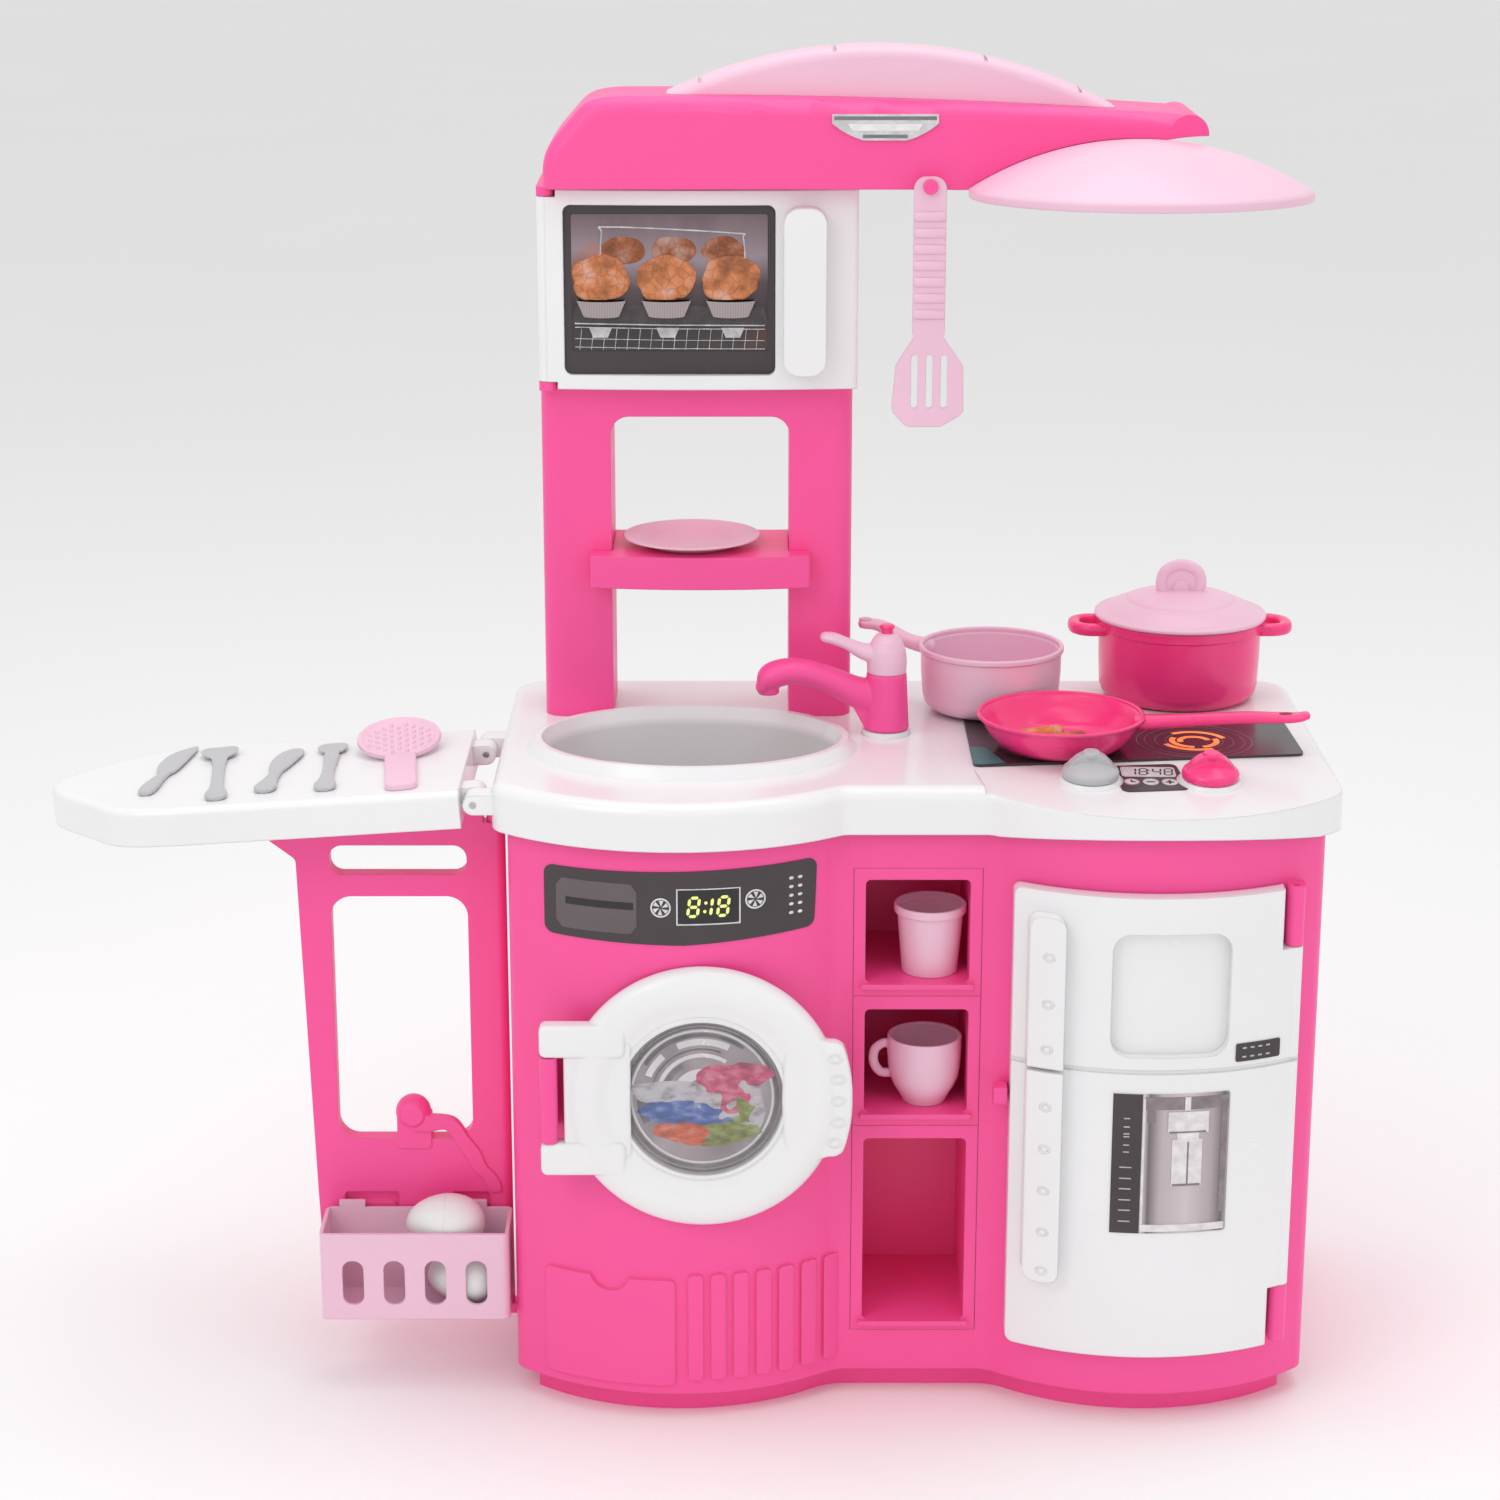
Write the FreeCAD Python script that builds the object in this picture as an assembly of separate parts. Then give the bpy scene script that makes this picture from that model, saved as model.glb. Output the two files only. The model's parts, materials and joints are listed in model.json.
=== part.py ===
import FreeCAD, Part
import math
import os

# Toy kitchen. Millimetres, +Z up, -Y to the front, +X to the right seen from the front.
# The origin is the middle of the plinth's base, on the floor.

V = FreeCAD.Vector
X_AXIS = V(1, 0, 0)
Y_AXIS = V(0, 1, 0)
Z_AXIS = V(0, 0, 1)

# ---- driving dimensions -------------------------------------------------------------

# Cabinet: plan of a block with two round bulges at the front and a flat bay between them.
CABINET_HALF_WIDTH = 300.0
CABINET_BACK_Y = 165.0
BAY_Y = -121.0
BULGE_X = 175.0
BULGE_RADIUS = 186.0
BULGE_FRONT_Y = -163.0
CORNER_RADIUS = 16.0
VALLEY_RADIUS = 24.0
SHELL_WALL = 4.0
SEAM_Y = 20.0
SEAM_GAP = 0.4
SHELL_FIT = 0.3

PLINTH_HEIGHT = 20.0
PLINTH_SETBACK = 16.0
PLINTH_FLANGE = 4.0

# Worktop: an upturned tray over the cabinet, with a basin and a sloping control area.
WORKTOP_UNDERSIDE = 452.0
WORKTOP_TOP = 487.0
WORKTOP_OVERHANG = 11.0
WORKTOP_WALL = 4.0
WORKTOP_ROUND = 10.0
SHELL_INSIDE_WORKTOP = 16.0
BASIN_X = -166.0
BASIN_Y = -22.0
BASIN_HALF_LENGTH = 113.0
BASIN_HALF_WIDTH = 82.0
BASIN_DEPTH = 72.0
BASIN_TAPER = 18.0
BASIN_WALL = 4.0
RIM_WIDTH = 12.0
RIM_HEIGHT = 9.0
SLOPE_ANGLE = 5.4

# Hob and its controls.
HOB_LEFT = 43.0
HOB_RIGHT = 292.0
HOB_FRONT_LEFT_Y = -78.0
HOB_FRONT_RIGHT_Y = -48.0
HOB_BACK_Y = 62.0
HOB_THICKNESS = 2.0
LABEL_THICKNESS = 0.8
KNOB_XS = (127.0, 215.0)
KNOB_Y = -100.0
KNOB_RADIUS = 21.0
KNOB_HEIGHT = 20.0
KNOB_BOSS_RADIUS = 24.0
KNOB_BOSS_HEIGHT = 3.0
SPINDLE_RADIUS = 4.0
SPINDLE_LENGTH = 11.0
TIMER_X = 171.0
TIMER_Y = -96.0
TIMER_WIDTH = 50.0
TIMER_DEPTH = 50.0

RUNNING_FIT = 0.06
FACE_GAP = 0.3

# Niches in the bay: (floor height, clear height).
NICHE_LEFT = -37.0
NICHE_RIGHT = 40.0
NICHES = ((62.0, 148.0), (231.0, 82.0), (334.0, 80.0))
NICHE_DEPTH = 112.0
LINER_WALL = 2.5
LEDGE_REACH = 5.0
NICHE_FRAME = 9.0

# Washer.
WASHER_X = -157.0
WASHER_Z = 262.0
WASHER_DOOR_RADIUS = 101.0
WASHER_DOOR_THICKNESS = 13.0
WASHER_GLASS_RADIUS = 62.0
WASHER_OPENING_RADIUS = 78.0
WASHER_TUB_DEPTH = 170.0
WASHER_HINGE_X = -269.0
WASHER_ARM_HEIGHT = 25.0
WASHER_ARM_OFFSET = 46.0
HINGE_RADIUS = 6.5
PIN_RADIUS = 2.5

# Fridge.
FRIDGE_LEFT = 70.0
FRIDGE_RIGHT = 266.0
FRIDGE_BOTTOM = 57.0
FRIDGE_TOP = 418.0
FRIDGE_DOOR_THICKNESS = 12.0
FRIDGE_DOOR_GAP = 1.5
FRIDGE_HINGE_X = 275.0
FRIDGE_LUG_HEIGHT = 46.0
FRIDGE_OPENING_MARGIN = 18.0
FRIDGE_LINER_DEPTH = 250.0
FRIDGE_SHELF_Z = 236.0

# Tower, oven, hood.
TOWER_LEFT = -281.0
TOWER_RIGHT = -44.0
TOWER_FRONT_Y = 62.0
TOWER_BACK_Y = 142.0
LEFT_POST_WIDTH = 53.0
RIGHT_POST_WIDTH = 48.0
TOWER_TOP = 745.0
TOWER_BEAM = 22.0
SHELF_TOP = 619.0
SHELF_LIP = 25.0
SHELF_THICKNESS = 5.0
SHELF_FRONT_Y = 36.0
OVEN_HEIGHT = 153.0
OVEN_WALL = 5.0
OVEN_DOOR_THICKNESS = 13.0
HOOD_BOTTOM = TOWER_TOP + OVEN_HEIGHT
HOOD_TOP = HOOD_BOTTOM + 67.0
HOOD_FRONT_Y = 30.0
HOOD_BACK_Y = 130.0
CROWN_TOP = HOOD_TOP + 35.0
LAMP_X = 162.0
LAMP_Y = 0.0
LAMP_RADIUS = 125.0
LAMP_RIM_Z = HOOD_BOTTOM + 3.0
LAMP_TILT = 2.0
LAMP_RISE = 37.0
LAMP_WALL = 3.0

# Ironing board and gate.
BOARD_TOP = 481.0
BOARD_THICKNESS = 28.0
BOARD_WALL = 4.0
BOARD_RIGHT = -334.0
BOARD_FRONT_Y = -118.0
BOARD_BACK_Y = 52.0
BOARD_LEFT = -648.0
BOARD_DROOP = 3.7
BOARD_HINGE_X = -324.0
BOARD_HINGE_Z = 470.0
BOARD_HINGE_RADIUS = 7.5
GATE_Y = -60.0
GATE_THICKNESS = 14.0
GATE_HINGE_X = -312.0
GATE_BOTTOM = 49.0
GATE_TOP = 449.0

# ---- helpers --------------------------------------------------------------------------


def block(x0, x1, y0, y1, z0, z1):
    return Part.makeBox(x1 - x0, y1 - y0, z1 - z0, V(x0, y0, z0))


def rod(radius, start, end):
    """A cylinder between two points."""
    start, end = V(*start), V(*end)
    return Part.makeCylinder(radius, (end - start).Length, start, end - start)


def ball(radius, centre):
    return Part.makeSphere(radius, V(*centre))


def edges_along(shape, axis):
    """The straight edges of a shape that run along an axis."""
    return [edge for edge in shape.Edges
            if isinstance(edge.Curve, Part.Line)
            and abs(abs(edge.tangentAt(edge.FirstParameter).dot(axis)) - 1.0) < 1e-6]


def rounded(shape, radius, axis):
    return shape.makeFillet(radius, edges_along(shape, axis))


def slab(x0, x1, y0, y1, z0, z1, radius, axis):
    """A block whose four edges along the axis are rounded."""
    return rounded(block(x0, x1, y0, y1, z0, z1), radius, axis)


def prism_xy(points, z0, z1):
    wire = Part.makePolygon([V(x, y, z0) for x, y in points + points[:1]])
    return Part.Face(wire).extrude(V(0, 0, z1 - z0))


def prism_xz(points, y0, y1):
    wire = Part.makePolygon([V(x, y0, z) for x, z in points + points[:1]])
    return Part.Face(wire).extrude(V(0, y1 - y0, 0))


def turned(profile, x, y):
    """A solid of revolution about a vertical axis from (radius, height) points."""
    wire = Part.makePolygon([V(x + r, y, z) for r, z in profile + profile[:1]])
    return Part.Face(wire).revolve(V(x, y, 0), Z_AXIS, 360.0)


def ellipse_wire(x, y, z, a, b):
    curve = Part.Ellipse(V(x, y, z), a, b)
    return Part.Wire([curve.toShape()])


def ellipse_loft(x, y, sections):
    """A loft through level ellipses given as (z, half length, half width)."""
    return Part.makeLoft([ellipse_wire(x, y, z, a, b) for z, a, b in sections], True)


def circle_wire(centre, normal, radius):
    return Part.Wire([Part.makeCircle(radius, V(*centre), V(*normal))])


def fused(shape, *others):
    return shape.multiFuse(list(others)).removeSplitter()


def cut(shape, *tools):
    return shape.cut(list(tools))


def save(name, *pieces):
    shape = pieces[0] if len(pieces) == 1 else Part.makeCompound(list(pieces))
    if shape.ShapeType == "Compound" and len(shape.Solids) == 1:
        shape = shape.Solids[0]
    solids = shape.Solids
    valid = shape.isValid() and len(solids) > 0 and all(s.isClosed() for s in solids)
    print("%-22s solids %d valid %s volume %.0f" % (name, len(solids), valid, shape.Volume))
    shape.exportStep("parts/%s.step" % name)


# ---- cabinet ----------------------------------------------------------------------------

BULGE_CENTRE_Y = BULGE_FRONT_Y + BULGE_RADIUS


def cabinet_prism(z0, z1, grow):
    """The cabinet's plan, moved outward by grow, between two heights."""
    half = CABINET_HALF_WIDTH + grow
    back = CABINET_BACK_Y + grow
    height = z1 - z0
    bulges = [Part.makeCylinder(BULGE_RADIUS + grow, height, V(side * BULGE_X, BULGE_CENTRE_Y, z0))
              for side in (-1, 1)]
    bay = block(-BULGE_X, BULGE_X, BAY_Y - grow, back, z0, z1)
    body = block(-half, half, BULGE_CENTRE_Y, back, z0, z1)
    plan = fused(bay, body, *bulges)
    plan = plan.common(block(-half, half, -2 * BULGE_RADIUS, back, z0, z1)).removeSplitter()
    upright = edges_along(plan, Z_AXIS)
    corners = [e for e in upright if abs(e.CenterOfMass.x) > BULGE_X]
    valleys = [e for e in upright if abs(e.CenterOfMass.x) < BULGE_X]
    plan = plan.makeFillet(max(CORNER_RADIUS + grow, 3.0), corners)
    valleys = [e for e in edges_along(plan, Z_AXIS)
               if abs(e.CenterOfMass.x) < BULGE_X and e.CenterOfMass.y < BULGE_CENTRE_Y]
    return plan.makeFillet(VALLEY_RADIUS - grow, valleys)


def bulge_band(side, inner, outer, z0, z1):
    """A curved skin in front of one bulge, between two offsets from its surface."""
    centre = V(side * BULGE_X, BULGE_CENTRE_Y, z0)
    skin = Part.makeCylinder(BULGE_RADIUS + outer, z1 - z0, centre)
    skin = skin.cut(Part.makeCylinder(BULGE_RADIUS + inner, z1 - z0, centre))
    reach = 0.9 * BULGE_RADIUS
    front = block(side * BULGE_X - reach, side * BULGE_X + reach, -2 * BULGE_RADIUS, BAY_Y / 2, z0, z1)
    return skin.common(front)


def bulge_y(side, x, offset=0.0):
    """The front surface of a bulge at a given x, moved outward by offset."""
    across = x - side * BULGE_X
    return BULGE_CENTRE_Y - math.sqrt((BULGE_RADIUS + offset) ** 2 - across ** 2)


def plinth():
    foot = cabinet_prism(0, PLINTH_HEIGHT, -PLINTH_SETBACK)
    flange = cabinet_prism(PLINTH_HEIGHT, PLINTH_HEIGHT + PLINTH_FLANGE, -SHELL_WALL - SHELL_FIT)
    hollow = cabinet_prism(PLINTH_FLANGE, PLINTH_HEIGHT + PLINTH_FLANGE, -PLINTH_SETBACK - SHELL_WALL)
    return cut(fused(foot, flange), hollow)


SHELL_TOP = WORKTOP_UNDERSIDE + SHELL_INSIDE_WORKTOP


def cabinet_tube():
    outer = cabinet_prism(PLINTH_HEIGHT, SHELL_TOP, 0)
    inner = cabinet_prism(PLINTH_HEIGHT, SHELL_TOP, -SHELL_WALL)
    return outer.cut(inner)


NICHE_FRONT_Y = BAY_Y + SHELL_WALL + SHELL_FIT


def niche_box(floor, height, grow, depth_grow=0.0):
    return block(NICHE_LEFT - grow, NICHE_RIGHT + grow, NICHE_FRONT_Y, NICHE_FRONT_Y + NICHE_DEPTH + depth_grow,
                 floor - grow, floor + height + grow)


def niche_edges():
    """The heights at which the niche mouldings start, meet and end."""
    edges = [NICHES[0][0] - NICHE_FRAME]
    edges += [(low + height + above) / 2 for (low, height), (above, _) in zip(NICHES, NICHES[1:])]
    return edges + [NICHES[-1][0] + NICHES[-1][1] + NICHE_FRAME]


def fridge_opening(grow, y0, y1):
    margin = FRIDGE_OPENING_MARGIN
    return block(FRIDGE_LEFT + margin - grow, FRIDGE_RIGHT - margin + grow, y0, y1,
                 FRIDGE_BOTTOM + margin - grow, FRIDGE_TOP - margin + grow)


# Hinge axes in plan. The fridge door's follows the bulge, the others are set out from flat doors.
FRIDGE_HINGE_OFFSET = FRIDGE_DOOR_GAP + HINGE_RADIUS
FRIDGE_HINGE_Y = bulge_y(1, FRIDGE_HINGE_X, FRIDGE_HINGE_OFFSET)
WASHER_DOOR_BACK_Y = BULGE_FRONT_Y - 1.5
WASHER_DOOR_FRONT_Y = WASHER_DOOR_BACK_Y - WASHER_DOOR_THICKNESS
WASHER_HINGE_Y = WASHER_DOOR_BACK_Y - HINGE_RADIUS


def fridge_lug(z0, z1):
    """A fixed knuckle standing out from the cabinet front beside the fridge door."""
    knuckle = Part.makeCylinder(HINGE_RADIUS, z1 - z0, V(FRIDGE_HINGE_X, FRIDGE_HINGE_Y, z0))
    web = block(FRIDGE_HINGE_X - HINGE_RADIUS, FRIDGE_HINGE_X + HINGE_RADIUS, FRIDGE_HINGE_Y,
                bulge_y(1, FRIDGE_HINGE_X) + 1.5, z0, z1)
    web = web.cut(cabinet_prism(z0, z1, -SHELL_WALL / 2))
    bore = Part.makeCylinder(PIN_RADIUS, z1 - z0, V(FRIDGE_HINGE_X, FRIDGE_HINGE_Y, z0))
    return fused(knuckle, web).cut(bore)


WASHER_BARREL_HALF = WASHER_ARM_OFFSET - WASHER_ARM_HEIGHT / 2 - FACE_GAP


def washer_barrel():
    """The fixed hinge barrel between the washer door's two arms."""
    z0, z1 = WASHER_Z - WASHER_BARREL_HALF, WASHER_Z + WASHER_BARREL_HALF
    axis_point = V(WASHER_HINGE_X, WASHER_HINGE_Y, z0)
    knuckle = Part.makeCylinder(HINGE_RADIUS, z1 - z0, axis_point)
    web = block(WASHER_HINGE_X - HINGE_RADIUS, WASHER_HINGE_X + 2, WASHER_HINGE_Y,
                bulge_y(-1, WASHER_HINGE_X) + 6, z0, z1)
    web = web.cut(cabinet_prism(z0, z1, -SHELL_WALL / 2))
    bore = Part.makeCylinder(PIN_RADIUS, z1 - z0, axis_point)
    return fused(knuckle, web).cut(bore)


GATE_LUG_HEIGHT = 8.0
GATE_STILE_TOP = GATE_TOP - GATE_LUG_HEIGHT - FACE_GAP
GATE_HALF = GATE_THICKNESS / 2


def gate_lug(z0, z1):
    knuckle = Part.makeCylinder(GATE_HALF, z1 - z0, V(GATE_HINGE_X, GATE_Y, z0))
    web = block(GATE_HINGE_X, -CABINET_HALF_WIDTH, GATE_Y - GATE_HALF, GATE_Y + GATE_HALF, z0, z1)
    bore = Part.makeCylinder(PIN_RADIUS, z1 - z0, V(GATE_HINGE_X, GATE_Y, z0))
    return fused(knuckle, web).cut(bore)


GATE_BRACKET_HALF = 15.0
GATE_BRACKET_PLATE = 2.5


def gate_bracket(z0, z1):
    """A hinge lug on a small plate that is fixed to the cabinet's side."""
    plate = block(-CABINET_HALF_WIDTH - GATE_BRACKET_PLATE, -CABINET_HALF_WIDTH, GATE_Y - GATE_BRACKET_HALF,
                  GATE_Y + GATE_BRACKET_HALF, z0 - 6, z1)
    return fused(gate_lug(z0, z1), rounded(plate, 4, X_AXIS))


def gate_brackets():
    return [gate_bracket(GATE_BOTTOM - GATE_LUG_HEIGHT - FACE_GAP, GATE_BOTTOM - FACE_GAP),
            gate_bracket(GATE_STILE_TOP + FACE_GAP, GATE_TOP)]


RELIEF_HEIGHT = 2.5
RELIEF_TOP = 118.0
RIB_COUNT = 7
RIB_PITCH = 17.0
RIB_LEFT = -168.0


def relief_panels():
    """The raised pocket and the ribbed grille low on the washer side."""
    skin = bulge_band(-1, -SHELL_WALL / 2, RELIEF_HEIGHT, PLINTH_HEIGHT + 8, RELIEF_TOP)
    pocket = block(-276, -178, -300, 0, PLINTH_HEIGHT + 8, RELIEF_TOP - 4)
    notch = rod(15, (-227, -300, RELIEF_TOP), (-227, 0, RELIEF_TOP))
    ribs = [slab(RIB_LEFT + i * RIB_PITCH, RIB_LEFT + i * RIB_PITCH + RIB_PITCH - 6, -300, 0,
                 PLINTH_HEIGHT + 12, RELIEF_TOP, 3, Y_AXIS) for i in range(RIB_COUNT)]
    return [skin.common(rounded(pocket, 4, Y_AXIS).cut(notch))] + [skin.common(rib) for rib in ribs]


def cabinet_front():
    shell = cabinet_tube().common(block(-400, 400, -400, SEAM_Y - SEAM_GAP / 2, 0, 600))
    holes = [rod(WASHER_OPENING_RADIUS, (WASHER_X, -300, WASHER_Z), (WASHER_X, -60, WASHER_Z))]
    edges = niche_edges()
    holes.append(block(NICHE_LEFT - NICHE_FRAME, NICHE_RIGHT + NICHE_FRAME, -200, -60, edges[0], edges[-1]))
    holes.append(rounded(fridge_opening(0, -300, -60), 8, Y_AXIS))
    lugs = [fridge_lug(FRIDGE_BOTTOM, FRIDGE_BOTTOM + FRIDGE_LUG_HEIGHT),
            fridge_lug(FRIDGE_TOP - FRIDGE_LUG_HEIGHT, FRIDGE_TOP),
            washer_barrel()]
    return fused(shell.cut(holes), *(lugs + relief_panels()))


def cabinet_rear():
    return cabinet_tube().common(block(-400, 400, SEAM_Y + SEAM_GAP / 2, 400, 0, 600))


def niche_moulding(index):
    """An open box with its own front frame, a ledge at its foot and clip flanges behind the cabinet front."""
    floor, height = NICHES[index]
    low, high = niche_edges()[index] + FACE_GAP / 2, niche_edges()[index + 1] - FACE_GAP / 2
    left, right = NICHE_LEFT - NICHE_FRAME, NICHE_RIGHT + NICHE_FRAME
    frame = block(left + FACE_GAP, right - FACE_GAP, BAY_Y, NICHE_FRONT_Y + 1, low, high)
    flange = block(left - 5, right + 5, NICHE_FRONT_Y, NICHE_FRONT_Y + LINER_WALL, low, high)
    ledge = block(NICHE_LEFT - 3, NICHE_RIGHT + 3, BAY_Y - LEDGE_REACH, BAY_Y + 1, floor - 4, floor)
    mouth = slab(NICHE_LEFT, NICHE_RIGHT, -200, NICHE_FRONT_Y, floor, floor + height, 4, Y_AXIS)
    body = fused(frame, flange, ledge, niche_box(floor, height, LINER_WALL, LINER_WALL))
    return cut(body, niche_box(floor, height, 0), mouth)


def washer_tub():
    radius = WASHER_OPENING_RADIUS + 2
    front, back = BULGE_FRONT_Y, BULGE_FRONT_Y + WASHER_TUB_DEPTH
    outer = rod(radius + LINER_WALL, (WASHER_X, front, WASHER_Z), (WASHER_X, back, WASHER_Z))
    inner = rod(radius, (WASHER_X, front, WASHER_Z), (WASHER_X, back - LINER_WALL, WASHER_Z))
    inside = cabinet_prism(WASHER_Z - 100, WASHER_Z + 100, -SHELL_WALL - SHELL_FIT)
    return outer.cut(inner).common(inside)


def fridge_liner():
    front, back = BULGE_FRONT_Y, BULGE_FRONT_Y + FRIDGE_LINER_DEPTH
    outer = fridge_opening(2 + LINER_WALL, front, back)
    inner = fridge_opening(2, front, back - LINER_WALL)
    inside = cabinet_prism(FRIDGE_BOTTOM, FRIDGE_TOP, -SHELL_WALL - SHELL_FIT)
    return outer.cut(inner).common(inside)


def fridge_shelf():
    back = BULGE_FRONT_Y + FRIDGE_LINER_DEPTH - LINER_WALL - SHELL_FIT
    inside = fridge_opening(2 - SHELL_FIT, BULGE_FRONT_Y + 45, back)
    return inside.common(block(-400, 400, -400, 400, FRIDGE_SHELF_Z, FRIDGE_SHELF_Z + 3))


# ---- worktop ------------------------------------------------------------------------------

HOB_SKEW = math.degrees(math.atan2(HOB_FRONT_RIGHT_Y - HOB_FRONT_LEFT_Y, HOB_RIGHT - HOB_LEFT))
SLOPE_ORIGIN = V(HOB_LEFT, HOB_FRONT_LEFT_Y - 2, WORKTOP_TOP)
SLOPE_TURN = FreeCAD.Rotation(Z_AXIS, HOB_SKEW).multiply(FreeCAD.Rotation(X_AXIS, SLOPE_ANGLE))
SLOPE_NORMAL = SLOPE_TURN.multVec(Z_AXIS)


def slope_z(x, y):
    """The height of the sloping control area at a point of the plan."""
    n = SLOPE_NORMAL
    return SLOPE_ORIGIN.z - (n.x * (x - SLOPE_ORIGIN.x) + n.y * (y - SLOPE_ORIGIN.y)) / n.z


def on_slope(shape, x, y):
    """Stand a shape, built about the origin, on the control area at (x, y)."""
    placed = shape.copy()
    placed.Placement = FreeCAD.Placement(V(x, y, slope_z(x, y)), SLOPE_TURN).multiply(placed.Placement)
    return placed


TAP_X = -18.0
TAP_Y = 15.0
TAP_RADIUS = 15.5
TAP_SPIGOT_RADIUS = 8.0
TAP_FOOT_HEIGHT = 4.0
BOARD_LUG_WIDTH = 20.0
BOARD_LUG_YS = (BOARD_FRONT_Y, BOARD_BACK_Y - BOARD_LUG_WIDTH)


def board_knuckle_ys():
    """Near ends of the board's own knuckles, each just inside one of the worktop's lugs."""
    near, far = BOARD_LUG_YS
    return (near + BOARD_LUG_WIDTH + FACE_GAP, far - BOARD_LUG_WIDTH - FACE_GAP)


def board_lug(y):
    """A white lug on the worktop's left edge that carries the ironing board's hinge pin."""
    knuckle = rod(BOARD_HINGE_RADIUS, (BOARD_HINGE_X, y, BOARD_HINGE_Z),
                  (BOARD_HINGE_X, y + BOARD_LUG_WIDTH, BOARD_HINGE_Z))
    z0, z1 = BOARD_HINGE_Z - BOARD_HINGE_RADIUS, BOARD_HINGE_Z + BOARD_HINGE_RADIUS
    arm = block(BOARD_HINGE_X, 20 - CABINET_HALF_WIDTH, y, y + BOARD_LUG_WIDTH, z0, z1)
    arm = arm.cut(cabinet_prism(z0, z1, WORKTOP_OVERHANG - WORKTOP_WALL))
    bore = rod(PIN_RADIUS, (BOARD_HINGE_X, y, BOARD_HINGE_Z), (BOARD_HINGE_X, y + BOARD_LUG_WIDTH, BOARD_HINGE_Z))
    return fused(knuckle, arm).cut(bore)


def worktop():
    tray = cabinet_prism(WORKTOP_UNDERSIDE, WORKTOP_TOP, WORKTOP_OVERHANG)
    top_edges = [e for e in tray.Edges if e.BoundBox.ZMin > WORKTOP_TOP - 0.01]
    tray = tray.makeFillet(WORKTOP_ROUND, top_edges)
    cavity = cabinet_prism(WORKTOP_UNDERSIDE - 1, WORKTOP_TOP - WORKTOP_WALL, WORKTOP_OVERHANG - WORKTOP_WALL)
    thick_zone = block(HOB_LEFT - 6, CABINET_HALF_WIDTH + WORKTOP_OVERHANG, -300, HOB_FRONT_RIGHT_Y,
                       SHELL_TOP + SHELL_FIT, WORKTOP_TOP)
    tray = tray.cut(cavity.cut(thick_zone))
    wedge = Part.makeBox(400, 200, 40, V(0, -200, 0))
    wedge.Placement = FreeCAD.Placement(SLOPE_ORIGIN, SLOPE_TURN)
    arch_half = 116.0
    arch_rise = 9.0
    arch_radius = (arch_half ** 2 + arch_rise ** 2) / (2 * arch_rise)
    arch_z = WORKTOP_UNDERSIDE + arch_rise - arch_radius
    arch = rod(arch_radius, (BULGE_X, 2 * BULGE_FRONT_Y, arch_z), (BULGE_X, BAY_Y - 6, arch_z))
    tray = cut(tray, wedge, arch)

    a, b = BASIN_HALF_LENGTH, BASIN_HALF_WIDTH
    floor = WORKTOP_TOP + RIM_HEIGHT - BASIN_DEPTH
    rim = ellipse_loft(BASIN_X, BASIN_Y, [(WORKTOP_TOP - 1, a + RIM_WIDTH, b + RIM_WIDTH),
                                          (WORKTOP_TOP + RIM_HEIGHT, a + 5, b + 5)])
    bowl = ellipse_loft(BASIN_X, BASIN_Y, [(WORKTOP_TOP - 1, a + BASIN_WALL, b + BASIN_WALL),
                                           (floor - BASIN_WALL, a - BASIN_TAPER + BASIN_WALL,
                                            b - BASIN_TAPER + BASIN_WALL)])
    basin = ellipse_loft(BASIN_X, BASIN_Y, [(WORKTOP_TOP + RIM_HEIGHT + 1, a, b),
                                            (floor, a - BASIN_TAPER, b - BASIN_TAPER)])

    tap_foot = rod(TAP_RADIUS + 3, (TAP_X, TAP_Y, WORKTOP_TOP - 1), (TAP_X, TAP_Y, WORKTOP_TOP + TAP_FOOT_HEIGHT))
    spigot = rod(TAP_SPIGOT_RADIUS, (TAP_X, TAP_Y, WORKTOP_TOP), (TAP_X, TAP_Y, WORKTOP_TOP + 22))
    bosses = [on_slope(Part.makeCone(KNOB_BOSS_RADIUS, KNOB_BOSS_RADIUS - 2, KNOB_BOSS_HEIGHT + 1, V(0, 0, -1)),
                       x, KNOB_Y) for x in KNOB_XS]
    spindles = [on_slope(Part.makeCylinder(SPINDLE_RADIUS, KNOB_BOSS_HEIGHT + SPINDLE_LENGTH + 1, V(0, 0, -1)),
                         x, KNOB_Y) for x in KNOB_XS]
    lugs = [board_lug(y) for y in BOARD_LUG_YS]
    shell = fused(tray, rim, bowl, tap_foot, spigot, *(bosses + spindles + lugs))
    return shell.cut(basin)


def hob_panel():
    corners = [(HOB_LEFT, HOB_FRONT_LEFT_Y), (HOB_RIGHT, HOB_FRONT_RIGHT_Y),
               (HOB_RIGHT - 3, HOB_BACK_Y), (HOB_LEFT, HOB_BACK_Y)]
    return rounded(prism_xy(corners, WORKTOP_TOP, WORKTOP_TOP + HOB_THICKNESS), 6, Z_AXIS)


def timer_label():
    plate = slab(-TIMER_WIDTH / 2, TIMER_WIDTH / 2, -TIMER_DEPTH / 2, TIMER_DEPTH / 2, 0, LABEL_THICKNESS, 6, Z_AXIS)
    knob_room = [on_slope(Part.makeCylinder(KNOB_BOSS_RADIUS + 0.5, 10, V(0, 0, -5)), x, KNOB_Y) for x in KNOB_XS]
    return on_slope(plate, TIMER_X, TIMER_Y).cut(knob_room)


def control_label():
    """The washer's control panel: a curved plate on the left bulge, with a stepped lower edge."""
    skin = bulge_band(-1, 0, LABEL_THICKNESS, 360, 450)
    outline = [(-272, 380), (-170, 378), (-75, 384), (-73, 436), (-272, 432)]
    return skin.common(rounded(prism_xz(outline, -300, 0), 7, Y_AXIS))


# ---- washer door ----------------------------------------------------------------------------


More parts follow.
